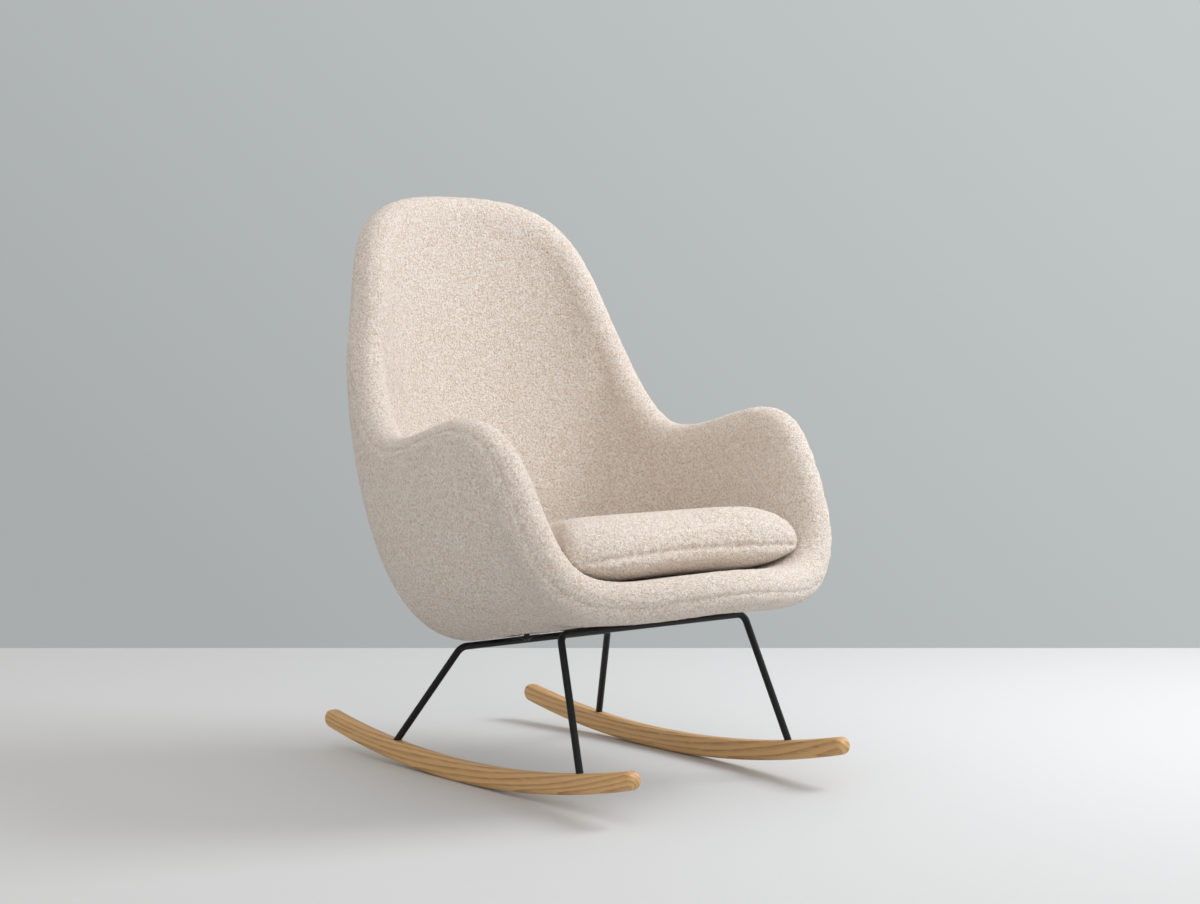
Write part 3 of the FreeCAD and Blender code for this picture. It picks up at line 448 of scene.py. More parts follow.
def vertex_normals(mesh):
    flat = np.empty(len(mesh.vertices) * 3)
    mesh.vertex_normals.foreach_get("vector", flat)
    return flat.reshape(-1, 3)


def turn_outwards(mesh):
    """Flip every face of a closed mesh whose volume comes out negative."""
    points = coordinates(mesh)
    mesh.calc_loop_triangles()
    corners = np.array([t.vertices for t in mesh.loop_triangles])
    a, b, c = (points[corners[:, k]] for k in range(3))
    if np.sum(np.cross(a, b) * c) < 0:
        mesh.flip_normals()
        mesh.update()


def linked(name, data):
    """New object in the scene."""
    piece = bpy.data.objects.new(name, data)
    bpy.context.scene.collection.objects.link(piece)
    return piece


def add_object(name, mesh, finish, body):
    mesh.materials.clear()
    mesh.materials.append(finish)
    mesh.polygons.foreach_set("use_smooth", [True] * len(mesh.polygons))
    piece = linked(name, mesh)
    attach(piece, body)
    return piece


def loop_heights(points, cell):
    """Height of the clumped wool loops at each point, between 0 and 1."""
    noise.seed_set(LOOP_SEED)
    heights = np.empty(len(points))
    for k, spot in enumerate(points / cell):
        at = Vector(spot)
        near = noise.voronoi(at + noise.noise_vector(at * LOOP_BEND_PACE) * LOOP_BEND)[0][0]
        heights[k] = 1 - min(near / LOOP_REACH, 1.0) ** 2
    return heights


def raise_loops(mesh, last, height, cell):
    """Lift the first vertices of a cover by the height of the wool's loops."""
    points = coordinates(mesh)
    lift = (loop_heights(points[:last], cell) - 0.5) * height
    points[:last] += vertex_normals(mesh)[:last] * lift[:, None]
    move_vertices(mesh, points)


# Finishes

class Value:
    """A shader socket that can stand in a Python expression."""

    def __init__(self, finish, socket):
        self.finish = finish
        self.socket = socket

    def math(self, operation, *others):
        settings = {"operation": operation}
        return self.finish.node("ShaderNodeMath", settings, dict(enumerate((self,) + others)))

    def __add__(self, other):
        return self.math("ADD", other)

    __radd__ = __add__

    def __mul__(self, other):
        return self.math("MULTIPLY", other)

    def __sub__(self, other):
        return self.math("SUBTRACT", other)

    def __rsub__(self, other):
        return self.finish.node("ShaderNodeMath", {"operation": "SUBTRACT"}, {0: other, 1: self})

    def steps(self, low, high):
        """Smooth passage from 0 at low to 1 at high."""
        return self.finish.node(
            "ShaderNodeMapRange", {"interpolation_type": "SMOOTHSTEP"},
            {"Value": self, "From Min": low, "From Max": high})


class Finish:
    """Nodes of one material, or of the world."""

    def __init__(self, owner):
        owner.use_nodes = True
        self.tree = owner.node_tree
        self.tree.nodes.clear()

    def node(self, kind, settings=None, sockets=None, output=0):
        """Add a node, set it up, then fill or link its sockets."""
        made = self.tree.nodes.new(kind)
        for name, value in (settings or {}).items():
            setattr(made, name, value)
        for name, value in (sockets or {}).items():
            if isinstance(value, Value):
                self.tree.links.new(value.socket, made.inputs[name])
            else:
                made.inputs[name].default_value = value
        return Value(self, made.outputs[output]) if len(made.outputs) else None

    def place(self):
        return self.node("ShaderNodeTexCoord", output="Object")

    def stretched(self, vector, scale):
        return self.node("ShaderNodeVectorMath", {"operation": "MULTIPLY"}, {0: vector, 1: scale})

    def moved(self, vector, offset):
        return self.node("ShaderNodeVectorMath", {"operation": "ADD"}, {0: vector, 1: offset})

    def noise(self, vector, scale, detail=2.0, roughness=0.5, distortion=0.0, output="Fac"):
        return self.node("ShaderNodeTexNoise", {}, {
            "Vector": vector, "Scale": scale, "Detail": detail, "Roughness": roughness,
            "Distortion": distortion}, output)

    def blend(self, share, first, second):
        return self.node("ShaderNodeMix", {"data_type": "RGBA"}, {
            0: share, 6: first, 7: second}, 2)

    def surface(self, bump_height, bump_depth, **sockets):
        """Principled surface with a bump, joined to the output."""
        shading = {name.replace("_", " "): value for name, value in sockets.items()}
        shading["Normal"] = self.node("ShaderNodeBump", {}, {
            "Height": bump_height, "Distance": bump_depth, "Strength": 1.0})
        shader = self.node("ShaderNodeBsdfPrincipled", {}, shading)
        self.node("ShaderNodeOutputMaterial", {}, {"Surface": shader})


def colour(values):
    return (*values, 1.0)


def material_of(build):
    """Material of a finish, built when it is first asked for."""
    name = build.__name__
    if name not in bpy.data.materials:
        build(Finish(bpy.data.materials.new(name)), bpy.context.scene.chair_colours)
    return bpy.data.materials[name]


def looped_wool(f, tints):
    """Looped wool: pale curls in small clumps, with painted warm shade in the hollows between them."""
    place = f.place()
    sway = f.noise(place, 140, 2, output="Color")
    bent = f.moved(place, f.stretched(sway, (0.005, 0.005, 0.005)))
    curls = f.noise(place, 300, 2, 0.55, 0.8)
    loops = f.noise(bent, 500, 1, 0.5, 0.6)
    fibre = f.noise(bent, 1600, 3, 0.65)
    height = curls * 0.60 + loops * 0.30 + fibre * 0.10
    tips = height.steps(0.36, 0.60)
    patch = f.noise(place, 9, 3)
    # Painted shade: the hollows between the loops take the darker, warmer hollow colour in place of the
    # shade that falls in them.
    loops_with_painted_shade = f.blend(tips, colour(tints.wool_hollow_shade), colour(tints.wool_light))
    worn = f.blend(patch.steps(0.3, 0.75) * 0.07, loops_with_painted_shade, colour(tints.wool_hollow_shade))
    f.surface(height, 0.0072, Base_Color=worn, Roughness=0.98 - tips * 0.08,
              Sheen_Weight=0.3, Sheen_Roughness=0.45, Sheen_Tint=colour((1.0, 0.99, 0.98)),
              Specular_IOR_Level=0.15)


def oiled_oak(f, tints):
    """Oiled oak whose grain runs along the arch of the rockers."""
    rockers = bpy.context.scene.chair_rockers
    place = f.place()
    across, depth, height = (
        f.node("ShaderNodeSeparateXYZ", {}, {"Vector": place}, axis) for axis in "XYZ")
    back, fall = depth - rockers.balance, rockers.radius - height
    along = back.math("ARCTAN2", fall) * rockers.radius
    over = rockers.radius - (back * back + fall * fall).math("SQRT")
    board = f.node("ShaderNodeCombineXYZ", {}, {"X": across, "Y": along, "Z": over})
    drawn = f.stretched(board, (1.0, 0.07, 1.0))
    wander = f.noise(drawn, 16, 2, output="Color")
    bent = f.moved(drawn, f.stretched(wander, (0.03, 0.0, 0.045)))
    rings = f.node("ShaderNodeTexWave", {
        "wave_type": "BANDS", "bands_direction": "DIAGONAL", "wave_profile": "SAW"}, {
        "Vector": bent, "Scale": 52.0, "Distortion": 2.2, "Detail": 2.0, "Detail Scale": 1.0}, "Fac")
    pores = f.noise(f.stretched(board, (1.0, 0.03, 1.0)), 900, 2, 0.6)
    fleck = f.noise(f.stretched(board, (1.0, 0.12, 1.0)), 260, 2)
    patch = f.noise(drawn, 30, 2)
    late = rings.steps(0.35, 0.97) * (0.35 + patch * 0.55)
    pore = pores.steps(0.55, 0.68) * rings.steps(0.2, 0.9)
    base = f.blend(late, colour(tints.oak_light), colour(tints.oak_dark))
    toned = f.blend(fleck.steps(0.45, 0.7) * 0.25, base, colour((0.72, 0.47, 0.24)))
    worn = f.blend(pore * 0.5, toned, colour([0.55 * c for c in tints.oak_dark]))
    relief = 0.6 - pore * 0.5 - late * 0.2
    f.surface(relief, 0.0003, Base_Color=worn, Roughness=0.45 + pore * 0.25 + fleck * 0.10,
              Specular_IOR_Level=0.4, Coat_Weight=0.06, Coat_Roughness=0.4)


def black_powder_coat(f, tints):
    """Matt black powder coat with a fine orange-peel skin."""
    place = f.place()
    peel = f.noise(place, 900, 2)
    dust = f.noise(place, 35, 3)
    tone = f.blend(dust.steps(0.45, 0.8) * 0.35, colour(tints.rod), colour((0.014, 0.014, 0.015)))
    f.surface(peel, 0.00012, Base_Color=tone, Roughness=0.36 + dust * 0.14,
              Specular_IOR_Level=0.3)


def blackened_steel(f, tints):
    """Blackened steel with fine turning marks."""
    place = f.place()
    marks = f.noise(place, 1800, 2)
    stain = f.noise(place, 160, 3)
    tone = f.blend(stain.steps(0.4, 0.8) * 0.3, colour(tints.steel), colour((0.14, 0.135, 0.13)))
    f.surface(marks, 0.00005, Base_Color=tone, Metallic=1.0, Roughness=0.28 + stain * 0.2)


def moulded_board(f, tints):
    """Moulded shell with a faint fibre pattern."""
    place = f.place()
    fibre = f.noise(place, 300, 3)
    tone = f.blend(fibre.steps(0.35, 0.7) * 0.5, colour(tints.moulding), colour((0.16, 0.16, 0.16)))
    f.surface(fibre, 0.0003, Base_Color=tone, Roughness=0.6 + fibre * 0.2)


def studio_floor(f, tints):
    """Even pale floor with a trace of grain."""
    grain = f.noise(f.place(), 160, 2)
    tone = f.blend(grain.steps(0.3, 0.7) * 0.05, colour(bpy.context.scene.chair_stage.floor),
                   colour((0.7, 0.7, 0.7)))
    f.surface(grain, 0.0001, Base_Color=tone, Roughness=0.6 + grain * 0.1, Specular_IOR_Level=0.2)


def finish_nodes(finish, names):
    for name in names:
        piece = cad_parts[name]
        piece.data.materials.clear()
        piece.data.materials.append(finish)


# Pieces

def way_along(loop):
    """Length along a closed loop at each of its points."""
    steps = np.linalg.norm(np.roll(loop, -1, 0) - loop, axis=1)
    return np.concatenate([[0], steps.cumsum()[:-1]])


def tuck(shell, away):
    """How far a cover sinks at a distance from its seam, with small folds along it."""
    sizes = shell.sizes
    half = np.full((shell.count, 1), shell.inner)
    seam = shell.rim(half, np.pi / 2 + shell.seams[:, None])[:, 0]
    spots = [Vector((way / sizes.fold_width, *COVER_FOLDS)) for way in way_along(seam)]
    folds = np.array([noise.noise(spot) for spot in spots])[:, None] + COVER_FOLD_SHARE
    drawn = sizes.fold_depth * np.exp(-away / sizes.fold_reach) * folds
    return sizes.seam_depth * np.exp(-(away / sizes.seam_width) ** 2) + drawn


def crowded(count):
    """Shares from 0 to 1 that lie closer together towards 1."""
    t = np.linspace(0, 1, count)
    return 1 - (1 - t) ** CROWDING


def eased(columns, row, reach):
    """Columns with the sudden bend at a row drawn out over a length on both sides."""
    for _ in range(EASE_ROUNDS):
        away = np.linalg.norm(columns - columns[:, row:row + 1], axis=2)
        share = EASE_SHARE * np.exp(-(away / reach) ** 2)[..., None]
        between = (np.roll(columns, 1, 1) + np.roll(columns, -1, 1)) / 2
        share[:, [0, -1]] = 0
        columns = columns + (between - columns) * share
    return columns


def cover_columns(shell, side, wall_rows, rim_rows, flat_rows):
    """Columns of a closed cover: middle to seam on its face, and back behind it."""
    sizes, half = shell.sizes, shell.inner
    seam = np.pi / 2 + shell.seams[:, None]
    start = np.zeros_like(seam) if side > 0 else np.full_like(seam, np.pi)
    angles = start + (seam - start) * crowded(rim_rows)[None]
    sunk = tuck(shell, np.abs(seam - angles) * half)
    face = shell.face(shell.shares(wall_rows, side * half), side * half)
    rim = shell.rim(half - sunk, angles)
    middle = face[:, :1].mean(0, keepdims=True)
    rings = np.linspace(MIDDLE_RING, 1, flat_rows)[None, :-1, None]
    flat = middle + (face[:, :1] - middle) * rings
    behind = half - sizes.cloth - HIDDEN_GAP
    back = shell.face(shell.shares(BACK_ROWS, side * half), side * behind)
    rim_back = shell.rim(half - sizes.cloth - sunk, angles)[:, ::BACK_STRIDE]
    back_middle = back[:, :1].mean(0, keepdims=True)
    back_flat = back_middle + (back[:, :1] - back_middle) * BACK_RING
    front = np.concatenate([flat, face, rim[:, 1:]], 1)
    front = eased(front, flat_rows + wall_rows - 2, sizes.ease)
    rear = np.concatenate([rim_back[:, ::-1], back[:, -2::-1], back_flat], 1)
    return np.concatenate([front, rear], 1), front.shape[1]


def make_cover(name, side, node_names, **rows):
    sizes = bpy.context.scene.chair_shell
    shell = ShellForm(sizes, sizes.columns)
    columns, front_rows = cover_columns(shell, side, **rows)
    mesh = closed_mesh(name, columns)
    raise_loops(mesh, (front_rows - 2) * shell.count, sizes.pile, sizes.pile_cell)
    piece = add_object(name, mesh, material_of(looped_wool), "chair")
    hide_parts(*node_names)


class CHAIR_OT_inside_cover(bpy.types.Operator):
    """Sew the inside cover over the shell's foam, from the seat to the rim's seam"""

    bl_idname = "chair.inside_cover"
    bl_label = "Inside Cover"

    def execute(self, context):
        make_cover("inside_upholstery", 1, ("inside_cover", "shell_foam"),
                   wall_rows=128, rim_rows=26, flat_rows=8)
        return {"FINISHED"}


class CHAIR_OT_outside_cover(bpy.types.Operator):
    """Stretch the outside cover over the shell, from the base to the rim's seam"""

    bl_idname = "chair.outside_cover"
    bl_label = "Outside Cover"

    def execute(self, context):
        make_cover("outside_upholstery", -1, ("outside_cover",),
                   wall_rows=124, rim_rows=14, flat_rows=26)
        return {"FINISHED"}


def first_crossing(values, level):
    """Share of each row at which its rising values pass a level, or 2."""
    last = values.shape[1] - 1
    found = np.full(len(values), 2.0)
    for i, row in enumerate(values):
        hits = np.nonzero((row[:-1] < level) & (row[1:] >= level))[0]
        if len(hits):
            k = hits[0]
            found[i] = (k + (level - row[k]) / (row[k + 1] - row[k])) / last
    return found


def cushion_columns(shell, sizes, steps):
    """Columns of the cushion's case: bottom panel, seam and crowned top panel."""
    fine = np.tile(np.linspace(0, 1, SEAT_SAMPLES), (shell.count, 1))
    seat = shell.face(fine, shell.inner)
    heights = (seat - shell.base) @ shell.up - shell.inner
    forward = np.maximum((seat - shell.base) @ shell.forward, 0) / sizes.front
    side = np.abs(seat[..., 0]) / sizes.front_half
    reach = (forward ** FRONT_POWER + side ** FRONT_POWER) ** (1 / FRONT_POWER)
    by_height, by_front = first_crossing(heights, sizes.seam_height), first_crossing(reach, 1.0)
    limits = np.stack([by_height, by_front, np.full(shell.count, RIM_LIMIT)])
    tops = (limits ** -LIMIT_POWER).sum(0) ** (-1 / LIMIT_POWER)
    part = np.sin(np.linspace(0, np.pi / 2, steps + 1))
    shares = tops[:, None] * part[None]
    normals = shell.normals(shares)
    seat = shell.face(shares, shell.inner)
    edge = seat[:, -1]
    corner = (np.maximum((edge - shell.base) @ shell.forward, 0) / sizes.front
              * np.abs(edge[:, 0]) / sizes.front_half) ** CORNER_POWER
    lift = sizes.seam_height - sizes.droop * corner - ((edge - shell.base) @ shell.up - shell.inner)
    off = sizes.gap + (sizes.side_gap - sizes.gap) * part ** GAP_POWER
    bottom = seat + normals * off[None, :, None]
    outwards = edge - shell.base
    outwards = unit(outwards - np.outer(outwards @ shell.up, shell.up))
    rise = np.outer(lift, shell.up)[:, None] * (1 - np.sqrt(1 - part ** EDGE_POWER))[None, :, None]
    beyond = (outwards * (sizes.overhang * corner)[:, None])[:, None]
    spread = beyond * (part ** SPREAD_POWER)[None, :, None]
    bottom = bottom + rise + spread
    seam = bottom[:, -1]
    middle = seam.mean(0)
    seam_level = (middle - shell.base) @ shell.up
    angle = np.linspace(0, np.pi / 2, steps + 1)[1:]
    out = np.maximum(np.cos(angle), 0) ** CROWN_POWER
    spots = middle + (seam - middle)[:, None] * (CROWN_FLAT + (1 - CROWN_FLAT) * out)[None, :, None]
    climb = seam_level + sizes.crown - (spots - shell.base) @ shell.up
    top = spots + shell.up * (climb * np.sin(angle) ** CROWN_POWER)[..., None]
    return np.concatenate([bottom, top], 1), seam


def evaluated_copy(piece):
    graph = bpy.context.evaluated_depsgraph_get()
    graph.update()
    return bpy.data.meshes.new_from_object(piece.evaluated_get(graph), depsgraph=graph).copy()


def worked(piece):
    """Mesh of a passing object with its modifiers applied; the object goes."""
    made = evaluated_copy(piece)
    bpy.data.objects.remove(piece)
    return made


def remeshed(mesh, voxel, rounding):
    """Case of even small faces with its edges rounded off, a little smaller than its pattern."""
    worker = linked("case_worker", mesh)
    remesh = worker.modifiers.new("even", "REMESH")
    remesh.mode = "VOXEL"
    remesh.voxel_size = voxel
    smooth = worker.modifiers.new("rounded", "SMOOTH")
    smooth.factor = 0.5
    smooth.iterations = rounding
    return worked(worker)


def filled(mesh, sizes):
    """Case pushed out by its filling, no point further than the swell allows, least below."""
    start = coordinates(mesh)
    below = np.maximum(-vertex_normals(mesh)[:, 2:], 0)
    worker = linked("case_worker", mesh)
    cloth = worker.modifiers.new("filling", "CLOTH")
    for name, value in CASE_CLOTH.items():
        setattr(cloth.settings, name, value)
    cloth.settings.uniform_pressure_force = sizes.pressure
    cloth.settings.effector_weights.gravity = 0
    scene = bpy.context.scene
    for number in range(1, FILL_FRAMES + 1):
        scene.frame_set(number)
    moved = coordinates(worked(worker)) - start
    scene.frame_set(1)
    far = np.linalg.norm(moved, axis=1, keepdims=True)
    moved *= np.minimum(1, sizes.swell / np.maximum(far, 1e-9))
    move_vertices(mesh, start + moved * (1 - UNDERSIDE_HOLD * below))
    return mesh


def subdivided(mesh):
    worker = linked("case_worker", mesh)
    worker.modifiers.new("smooth", "SUBSURF").levels = 1
    return worked(worker)


def sew_seam(mesh, shell, seam):
    """Tuck the case in along its seam, with small folds beside it."""
    points, normals = coordinates(mesh), vertex_normals(mesh)
    middle = seam.mean(0)

    def bearing(spots):
        return np.arctan2(spots[:, 0] - middle[0], (spots - middle) @ shell.forward)

    def at_points(values):
        return np.interp(bearing(points), bearing(seam)[order], values[order], period=2 * np.pi)

    order = np.argsort(bearing(seam))
    along = at_points(way_along(seam))
    above = (points - shell.base) @ shell.up - at_points((seam - shell.base) @ shell.up)
    upright = 1 - np.abs(normals @ shell.up) ** 2
    sink = np.zeros(len(points))
    for k in np.nonzero(np.abs(above) < SEAM_BAND)[0]:
        wave = above[k] - SEAM_WAVER * noise.noise(Vector((along[k] / SEAM_WAVER_PACE, 0.2, 0.9)))
        slant = 0.6 + wave * CASE_FOLD_SLANT
        fold = noise.noise(Vector((along[k] / CASE_FOLD_PACE, slant, 0.4)))
        sink[k] = SEAM_DEPTH * math.exp(-(wave / SEAM_WIDTH) ** 2)
        sink[k] += CASE_FOLD_DEPTH * math.exp(-abs(wave) / CASE_FOLD_REACH) * (CASE_FOLD_SHARE + fold)
    move_vertices(mesh, points - normals * (sink * upright)[:, None])


def keep_clear(mesh, other, clearance):
    """Move points that come too close to the shell's cover back into the seat."""
    tree = BVHTree.FromObject(other, bpy.context.evaluated_depsgraph_get())
    points = coordinates(mesh)
    for k, point in enumerate(points):
        spot, normal, _, _ = tree.find_nearest(Vector(point))
        if (Vector(point) - spot).dot(normal) < clearance:
            points[k] = spot + normal * clearance
    move_vertices(mesh, points)


class CHAIR_OT_seat_cushion(bpy.types.Operator):
    """Fill the loose seat cushion's case and sew its seam"""

    bl_idname = "chair.seat_cushion"
    bl_label = "Seat Cushion"

    def execute(self, context):
        sizes, shell_sizes = context.scene.chair_cushion, context.scene.chair_shell
        shell = ShellForm(shell_sizes, CASE_COLUMNS)
        columns, seam = cushion_columns(shell, sizes, CASE_STEPS)
        case = closed_mesh("seat_cushion", columns)
        mesh = remeshed(case, sizes.voxel, sizes.rounding)
        mesh = filled(mesh, sizes)
        mesh = subdivided(mesh)
        mesh.name = "seat_cushion"
        sew_seam(mesh, shell, seam)
        raise_loops(mesh, len(mesh.vertices), shell_sizes.pile, shell_sizes.pile_cell)
        keep_clear(mesh, bpy.data.objects["inside_upholstery"], sizes.clearance)
        piece = add_object("seat_cushion", mesh, material_of(looped_wool), "cushion")
        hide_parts("cushion_core", "cushion_top_cover", "cushion_bottom_cover")
        return {"FINISHED"}


def rocker_tip(sizes, side):
    """Centre and radius of the rounded tip that touches both faces of a rocker."""
    y = side * sizes.reach
    back = y - sizes.balance
    low, high = 0.0, 3 * sizes.depth
    for _ in range(50):
        z = (low + high) / 2
        to_run = sizes.radius - math.hypot(back, sizes.radius - z)
        to_top = math.hypot(back, sizes.depth + sizes.top_radius - z) - sizes.top_radius
        low, high = (z, high) if to_run < to_top else (low, z)
    return np.array([y, z]), to_run


def arc_points(centre, radius, first, last, count):
    """Points round an arc between the directions of two points, the short way."""
    a, b = (math.atan2(*(p - centre)[::-1]) for p in (first, last))
    turn = (b - a + np.pi) % (2 * np.pi) - np.pi
    angles = a + turn * np.arange(count) / count
    reach = np.stack([np.cos(angles), np.sin(angles)], 1)
    return centre + radius * reach, reach


def rocker_outline(sizes):
    """Outline of a rocker from its side, and the outward direction at each point."""
    run = np.array([sizes.balance, sizes.radius])
    top = np.array([sizes.balance, sizes.depth + sizes.top_radius])
    ends = []
    for side in (-1, 1):
        centre, radius = rocker_tip(sizes, side)
        ways = unit(centre - run), np.array([side, 0]), unit(top - centre)
        ends.append((centre, radius, *(centre + way * radius for way in ways)))
    (front, front_radius, *front_marks), (rear, rear_radius, *rear_marks) = ends
    pieces = [
        arc_points(run, sizes.radius, front_marks[0], rear_marks[0], ARC_POINTS),
        arc_points(rear, rear_radius, rear_marks[0], rear_marks[1], TIP_POINTS),
        arc_points(rear, rear_radius, rear_marks[1], rear_marks[2], TIP_POINTS),
        arc_points(top, sizes.top_radius, rear_marks[2], front_marks[2], ARC_POINTS),
        arc_points(front, front_radius, front_marks[2], front_marks[1], TIP_POINTS),
        arc_points(front, front_radius, front_marks[1], front_marks[0], TIP_POINTS),
    ]
    points = np.concatenate([p for p, _ in pieces])
    ways = [-w if k == 3 else w for k, (_, w) in enumerate(pieces)]
    return points, np.concatenate(ways)


def rocker_mesh(name, sizes, x):
    """Rocker with flat sides and rounded edges."""
    outline, ways = rocker_outline(sizes)
    half, edge = sizes.width / 2, sizes.edge
    turns = np.linspace(np.pi / 2, 0, EDGE_STEPS)
    steps = [(edge + SIDE_BORDER, half)]
    steps += [(edge * (1 - math.cos(t)), half - edge + edge * math.sin(t)) for t in turns]
    steps += [(inset, -side) for inset, side in steps[::-1]]
    points = []
    for inset, side in steps:
        ring = outline - ways * inset
        points += [(x + side, y, z) for y, z in ring]
    count, last = len(outline), len(steps) - 1
    faces = [face for face in ring_faces(count, len(steps)) if len(face) == 4]
    faces.append(list(range(count))[::-1])
    faces.append([last * count + k for k in range(count)])
    return outward_mesh(name, points, faces)


def bored(mesh, cutter):
    """Mesh with the space of another taken out of it."""
    worker, tool = linked("bore_worker", mesh), linked("bore_tool", cutter)
    cut = worker.modifiers.new("bores", "BOOLEAN")
    cut.operation = "DIFFERENCE"
    cut.object = tool
    made = worked(worker)
    bpy.data.objects.remove(tool)
    return made


class CHAIR_OT_rockers(bpy.types.Operator):
    """Shape the two oak rockers with rounded edges and bore them for the foot studs"""

    bl_idname = "chair.rockers"
    bl_label = "Rockers"

    def execute(self, context):
        sizes, fasteners = context.scene.chair_rockers, context.scene.chair_fasteners
        sleeve, stud = fasteners.sleeve[0] + BORE_CLEARANCE, fasteners.sleeve[1]
        shoulder = -fasteners.sleeve_depth
        bore = [(stud, BORE_ABOVE, 0), (stud, shoulder, 0), (sleeve, shoulder, 0), (sleeve, BORE_BELOW, 0)]
        for label, side in (("left", 1), ("right", -1)):
            name = "rocker_" + label
            places = foot_places(fasteners, sizes, (side,))
            cutter = placed_copies("foot_bores", turned_points(bore, BORE_SIDES), places)
            mesh = bored(rocker_mesh(name + "_oak", sizes, side * fasteners.feet[0]), cutter)
            mesh.name = name + "_oak"
            piece = add_object(name + "_oak", mesh, material_of(oiled_oak), "chair")
            mesh.set_sharp_from_angle(angle=SHARP_ANGLE)
            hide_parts(name)
        return {"FINISHED"}


class CHAIR_OT_leg_frames(bpy.types.Operator):
    """Powder-coat the bent-rod leg frames and their mounting tabs"""

    bl_idname = "chair.leg_frames"
    bl_label = "Leg Frames"

    def execute(self, context):
        frames = ["front_leg_frame", "rear_leg_frame"]
        tabs = [end + "_tab_" + side for end in ("front", "rear") for side in ("left", "right")]
        finish_nodes(material_of(black_powder_coat), frames + tabs)
        return {"FINISHED"}


def turned_points(profile, sides):
    """Columns of points for a piece turned about an upright axis."""
    angles = 2 * np.pi * np.arange(sides) / sides
    rows = []
    for radius, height, flats in profile:
        reach = np.full(sides, radius)
        if flats:
            off = (angles + np.pi / flats) % (2 * np.pi / flats) - np.pi / flats
            reach = radius * math.cos(math.pi / flats) / np.cos(off)
        level = np.full(sides, height)
        rows.append(np.stack([reach * np.cos(angles), reach * np.sin(angles), level], 1))
    return np.stack(rows, 1)


def placed_copies(name, columns, places):
    """One closed mesh of the same turned piece at several places."""
    rows, rings = ring_points(columns), ring_faces(*columns.shape[:2])
    points, faces = [], []
    for number, (origin, *axes) in enumerate(places):
        points += (origin + rows @ np.stack(axes)).tolist()
        faces += [[number * len(rows) + int(v) for v in face] for face in rings]
    return outward_mesh(name, points, faces)


def base_places(shell, sizes):
    """Axes of the four tab bolts."""
    across = np.array([1.0, 0, 0])
    return [
        (shell.base + shell.forward * way + across * side * sizes.tab_offset, across,
         -shell.forward, shell.up)
        for way in (sizes.front_bolt, -sizes.rear_bolt) for side in (-1, 1)
    ]


def foot_places(sizes, rockers, sides=(-1, 1)):
    """Axes of the foot studs, on the upper face of the rockers."""
    across = np.array([1.0, 0, 0])
    places = []
    for y in sizes.feet[1:]:
        lean = math.asin((y - rockers.balance) / rockers.top_radius)
        up = np.array([0, -math.sin(lean), math.cos(lean)])
        height = rockers.depth + rockers.top_radius * (1 - math.cos(lean))
        for side in sides:
            origin = np.array([side * sizes.feet[0], y, height])
            places.append((origin, across, np.cross(up, across), up))
    return places


class CHAIR_OT_fasteners(bpy.types.Operator):
    """Turn the bolts with hexagon sockets, the washers and the sleeve nuts"""

    bl_idname = "chair.fasteners"
    bl_label = "Fasteners"

    def execute(self, context):
        sizes = context.scene.chair_fasteners
        shell = ShellForm(context.scene.chair_shell, 4)
        places = base_places(shell, sizes)
        outer, bore, thick = sizes.washer
        low = sizes.tab_low - WASHER_GAP
        seat = sizes.tab_low - thick
        washer = [(bore, low, 0), (outer - EDGE_BREAK, low, 0), (outer, low - EDGE_BREAK, 0),
                  (outer, seat + EDGE_BREAK, 0), (outer - EDGE_BREAK, seat, 0), (bore, seat, 0)]
        self.add("tab_washers_turned", washer, places, "tab_washers")
        head, shank, height, long = sizes.bolt
        bolt = [(shank - BOLT_TIP[0], seat + long, 0), (shank, seat + long - BOLT_TIP[1], 0),
                (shank, seat - HEAD_GAP, 0), (head - HEAD_RIM[0], seat - HEAD_GAP, 0),
                (head, seat - HEAD_RIM[1], 0)]
        bolt += [(head - inset, seat - share * height, 0) for inset, share in HEAD_DOME]
        bolt += [(radius, seat - share * height, flats) for radius, share, flats in BOLT_SOCKET]
        self.add("tab_bolts_turned", bolt, places, "tab_bolts")
        radius, hole, span = sizes.sleeve
        top = -sizes.sleeve_depth
        end = top - span
        sleeve = [(hole, top, 0), (radius, top, 0), (radius, end + SLEEVE_EDGE, 0),
                  (radius - SLEEVE_EDGE, end, 0)]
        sleeve += [(reach, end + depth, flats) for reach, depth, flats in SLEEVE_SOCKET]
        feet = foot_places(sizes, context.scene.chair_rockers)
        self.add("foot_nuts_turned", sleeve, feet, "foot_nuts")
        finish_nodes(material_of(blackened_steel), ("shell_inserts", "foot_studs"))
        return {"FINISHED"}

    def add(self, name, profile, places, node):
        mesh = placed_copies(name, turned_points(profile, TURNED_SIDES), places)
        piece = add_object(name, mesh, material_of(blackened_steel), "chair")
        split = piece.modifiers.new("crisp_edges", "EDGE_SPLIT")
        split.split_angle = CRISP_ANGLE
        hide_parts(node)


class CHAIR_OT_moulded_shell(bpy.types.Operator):
    """Finish the moulded shell inside the upholstery"""

    bl_idname = "chair.moulded_shell"
    bl_label = "Moulded Shell"

    def execute(self, context):
        finish_nodes(material_of(moulded_board), ("moulded_shell",))
        return {"FINISHED"}


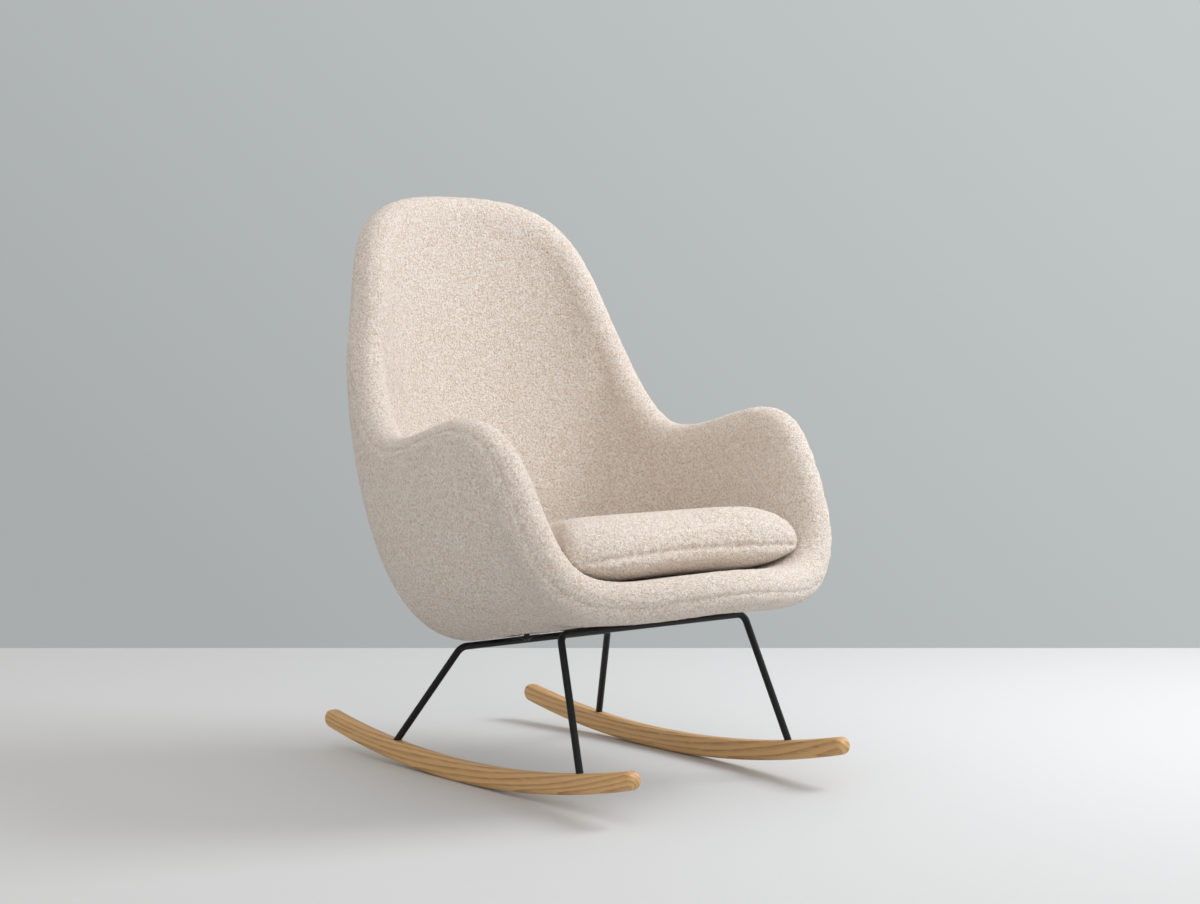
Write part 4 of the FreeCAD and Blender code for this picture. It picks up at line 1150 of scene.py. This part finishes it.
class CHAIR_OT_stage(bpy.types.Operator):
    """Set out the floor, the backdrop, the lights and the camera"""

    bl_idname = "chair.stage"
    bl_label = "Stage"

    def execute(self, context):
        stage = context.scene.chair_stage
        yaw = stage.camera_yaw
        ahead = np.array([math.sin(yaw), math.cos(yaw), 0])
        right = np.array([math.cos(yaw), -math.sin(yaw), 0])
        self.floor(stage, ahead, right)
        self.backdrop(context.scene, stage, right)
        self.lights(stage, ahead, right)
        camera = linked("photo_camera", bpy.data.cameras.new("photo_camera"))
        camera.location = stage.camera_place
        camera.rotation_euler = (math.pi / 2 - stage.camera_pitch, 0, -yaw)
        camera.data.lens = stage.lens
        camera.data.sensor_width = SENSOR
        camera.data.clip_end = FAR
        context.scene.camera = camera
        context.scene.view_settings.view_transform = "Standard"
        return {"FINISHED"}

    def floor(self, stage, ahead, right):
        foot = np.array(stage.camera_place) * (1, 1, 0)
        ends = ((stage.floor_end, 1), (stage.floor_end, -1), (-FLOOR_BEHIND, -1), (-FLOOR_BEHIND, 1))
        corners = [foot + ahead * way + right * side * FLOOR_SIDE for way, side in ends]
        mesh = bpy.data.meshes.new("studio_floor")
        mesh.from_pydata([tuple(c) for c in corners], [], [(0, 1, 2, 3)])
        mesh.materials.append(material_of(studio_floor))
        linked("studio_floor", mesh)

    def backdrop(self, scene, stage, right):
        world = bpy.data.worlds.new("studio")
        scene.world = world
        f = Finish(world)
        way = f.node("ShaderNodeTexCoord", output="Generated")
        # Painted light: the backdrop that the camera sees is brightened to the right and upwards, as if
        # lit unevenly from there.
        slope = (WALL_SLOPE[0] * right[0], WALL_SLOPE[0] * right[1], WALL_SLOPE[1])
        across = f.node("ShaderNodeVectorMath", {"operation": "DOT_PRODUCT"}, {0: way, 1: slope}, "Value")
        level = f.node("ShaderNodeClamp", {}, {
            "Value": 1 + across, "Min": WALL_RANGE[0], "Max": WALL_RANGE[1]})
        backdrop_with_painted_light = f.node("ShaderNodeVectorMath", {"operation": "SCALE"}, {
            0: tuple(stage.wall), "Scale": level})
        seen = f.node("ShaderNodeBackground", {}, {"Color": backdrop_with_painted_light, "Strength": 1.0})
        even = f.node("ShaderNodeBackground", {}, {
            "Color": colour(FILL_COLOUR), "Strength": stage.fill})
        rays = [f.node("ShaderNodeLightPath", output=name)
                for name in ("Is Camera Ray", "Is Glossy Ray", "Is Transmission Ray")]
        shown = rays[0].math("MAXIMUM", rays[1]).math("MAXIMUM", rays[2])
        mixed = f.node("ShaderNodeMixShader", {}, {0: shown, 1: even, 2: seen})
        f.node("ShaderNodeOutputWorld", {}, {"Surface": mixed})

    def lights(self, stage, ahead, right):
        for name, (way, size, share, hue) in LAMPS.items():
            offset = np.array(way) @ np.stack([right, ahead, (0, 0, 1)])
            lamp = bpy.data.lights.new(name, "AREA")
            lamp.shape = "SQUARE"
            lamp.size = size
            lamp.energy = stage.key * share
            lamp.color = hue
            holder = linked(name, lamp)
            holder.location = offset + AIM
            holder.rotation_euler = Vector(-offset).to_track_quat("-Z", "Y").to_euler()


OPERATORS = (
    CHAIR_OT_stage,
    CHAIR_OT_inside_cover,
    CHAIR_OT_outside_cover,
    CHAIR_OT_seat_cushion,
    CHAIR_OT_rockers,
    CHAIR_OT_leg_frames,
    CHAIR_OT_fasteners,
    CHAIR_OT_moulded_shell,
)
GROUPS = {
    "chair_shell": ShellSizes,
    "chair_cushion": CushionSizes,
    "chair_fasteners": Fasteners,
    "chair_rockers": RockerSizes,
    "chair_colours": Colours,
    "chair_stage": Stage,
}


class CHAIR_PT_panel(bpy.types.Panel):
    """Pieces and settings of the rocking chair"""

    bl_idname = "CHAIR_PT_panel"
    bl_label = "Rocking Chair"
    bl_space_type = "VIEW_3D"
    bl_region_type = "UI"
    bl_category = "Chair"

    def draw(self, context):
        for operator in OPERATORS:
            self.layout.operator(operator.bl_idname)
        for name, group in GROUPS.items():
            box = self.layout.box()
            box.label(text=group.__doc__)
            for setting in group.__annotations__:
                box.prop(getattr(context.scene, name), setting)


CLASSES = tuple(GROUPS.values()) + OPERATORS + (CHAIR_PT_panel,)


def register():
    for item in CLASSES:
        bpy.utils.register_class(item)
    for name, group in GROUPS.items():
        setattr(bpy.types.Scene, name, PointerProperty(type=group))


def unregister():
    for name in GROUPS:
        delattr(bpy.types.Scene, name)
    for item in reversed(CLASSES):
        bpy.utils.unregister_class(item)


def main():
    register()
    for operator in OPERATORS:
        group, name = operator.bl_idname.split(".")
        getattr(getattr(bpy.ops, group), name)()


if __name__ == "__main__":
    main()
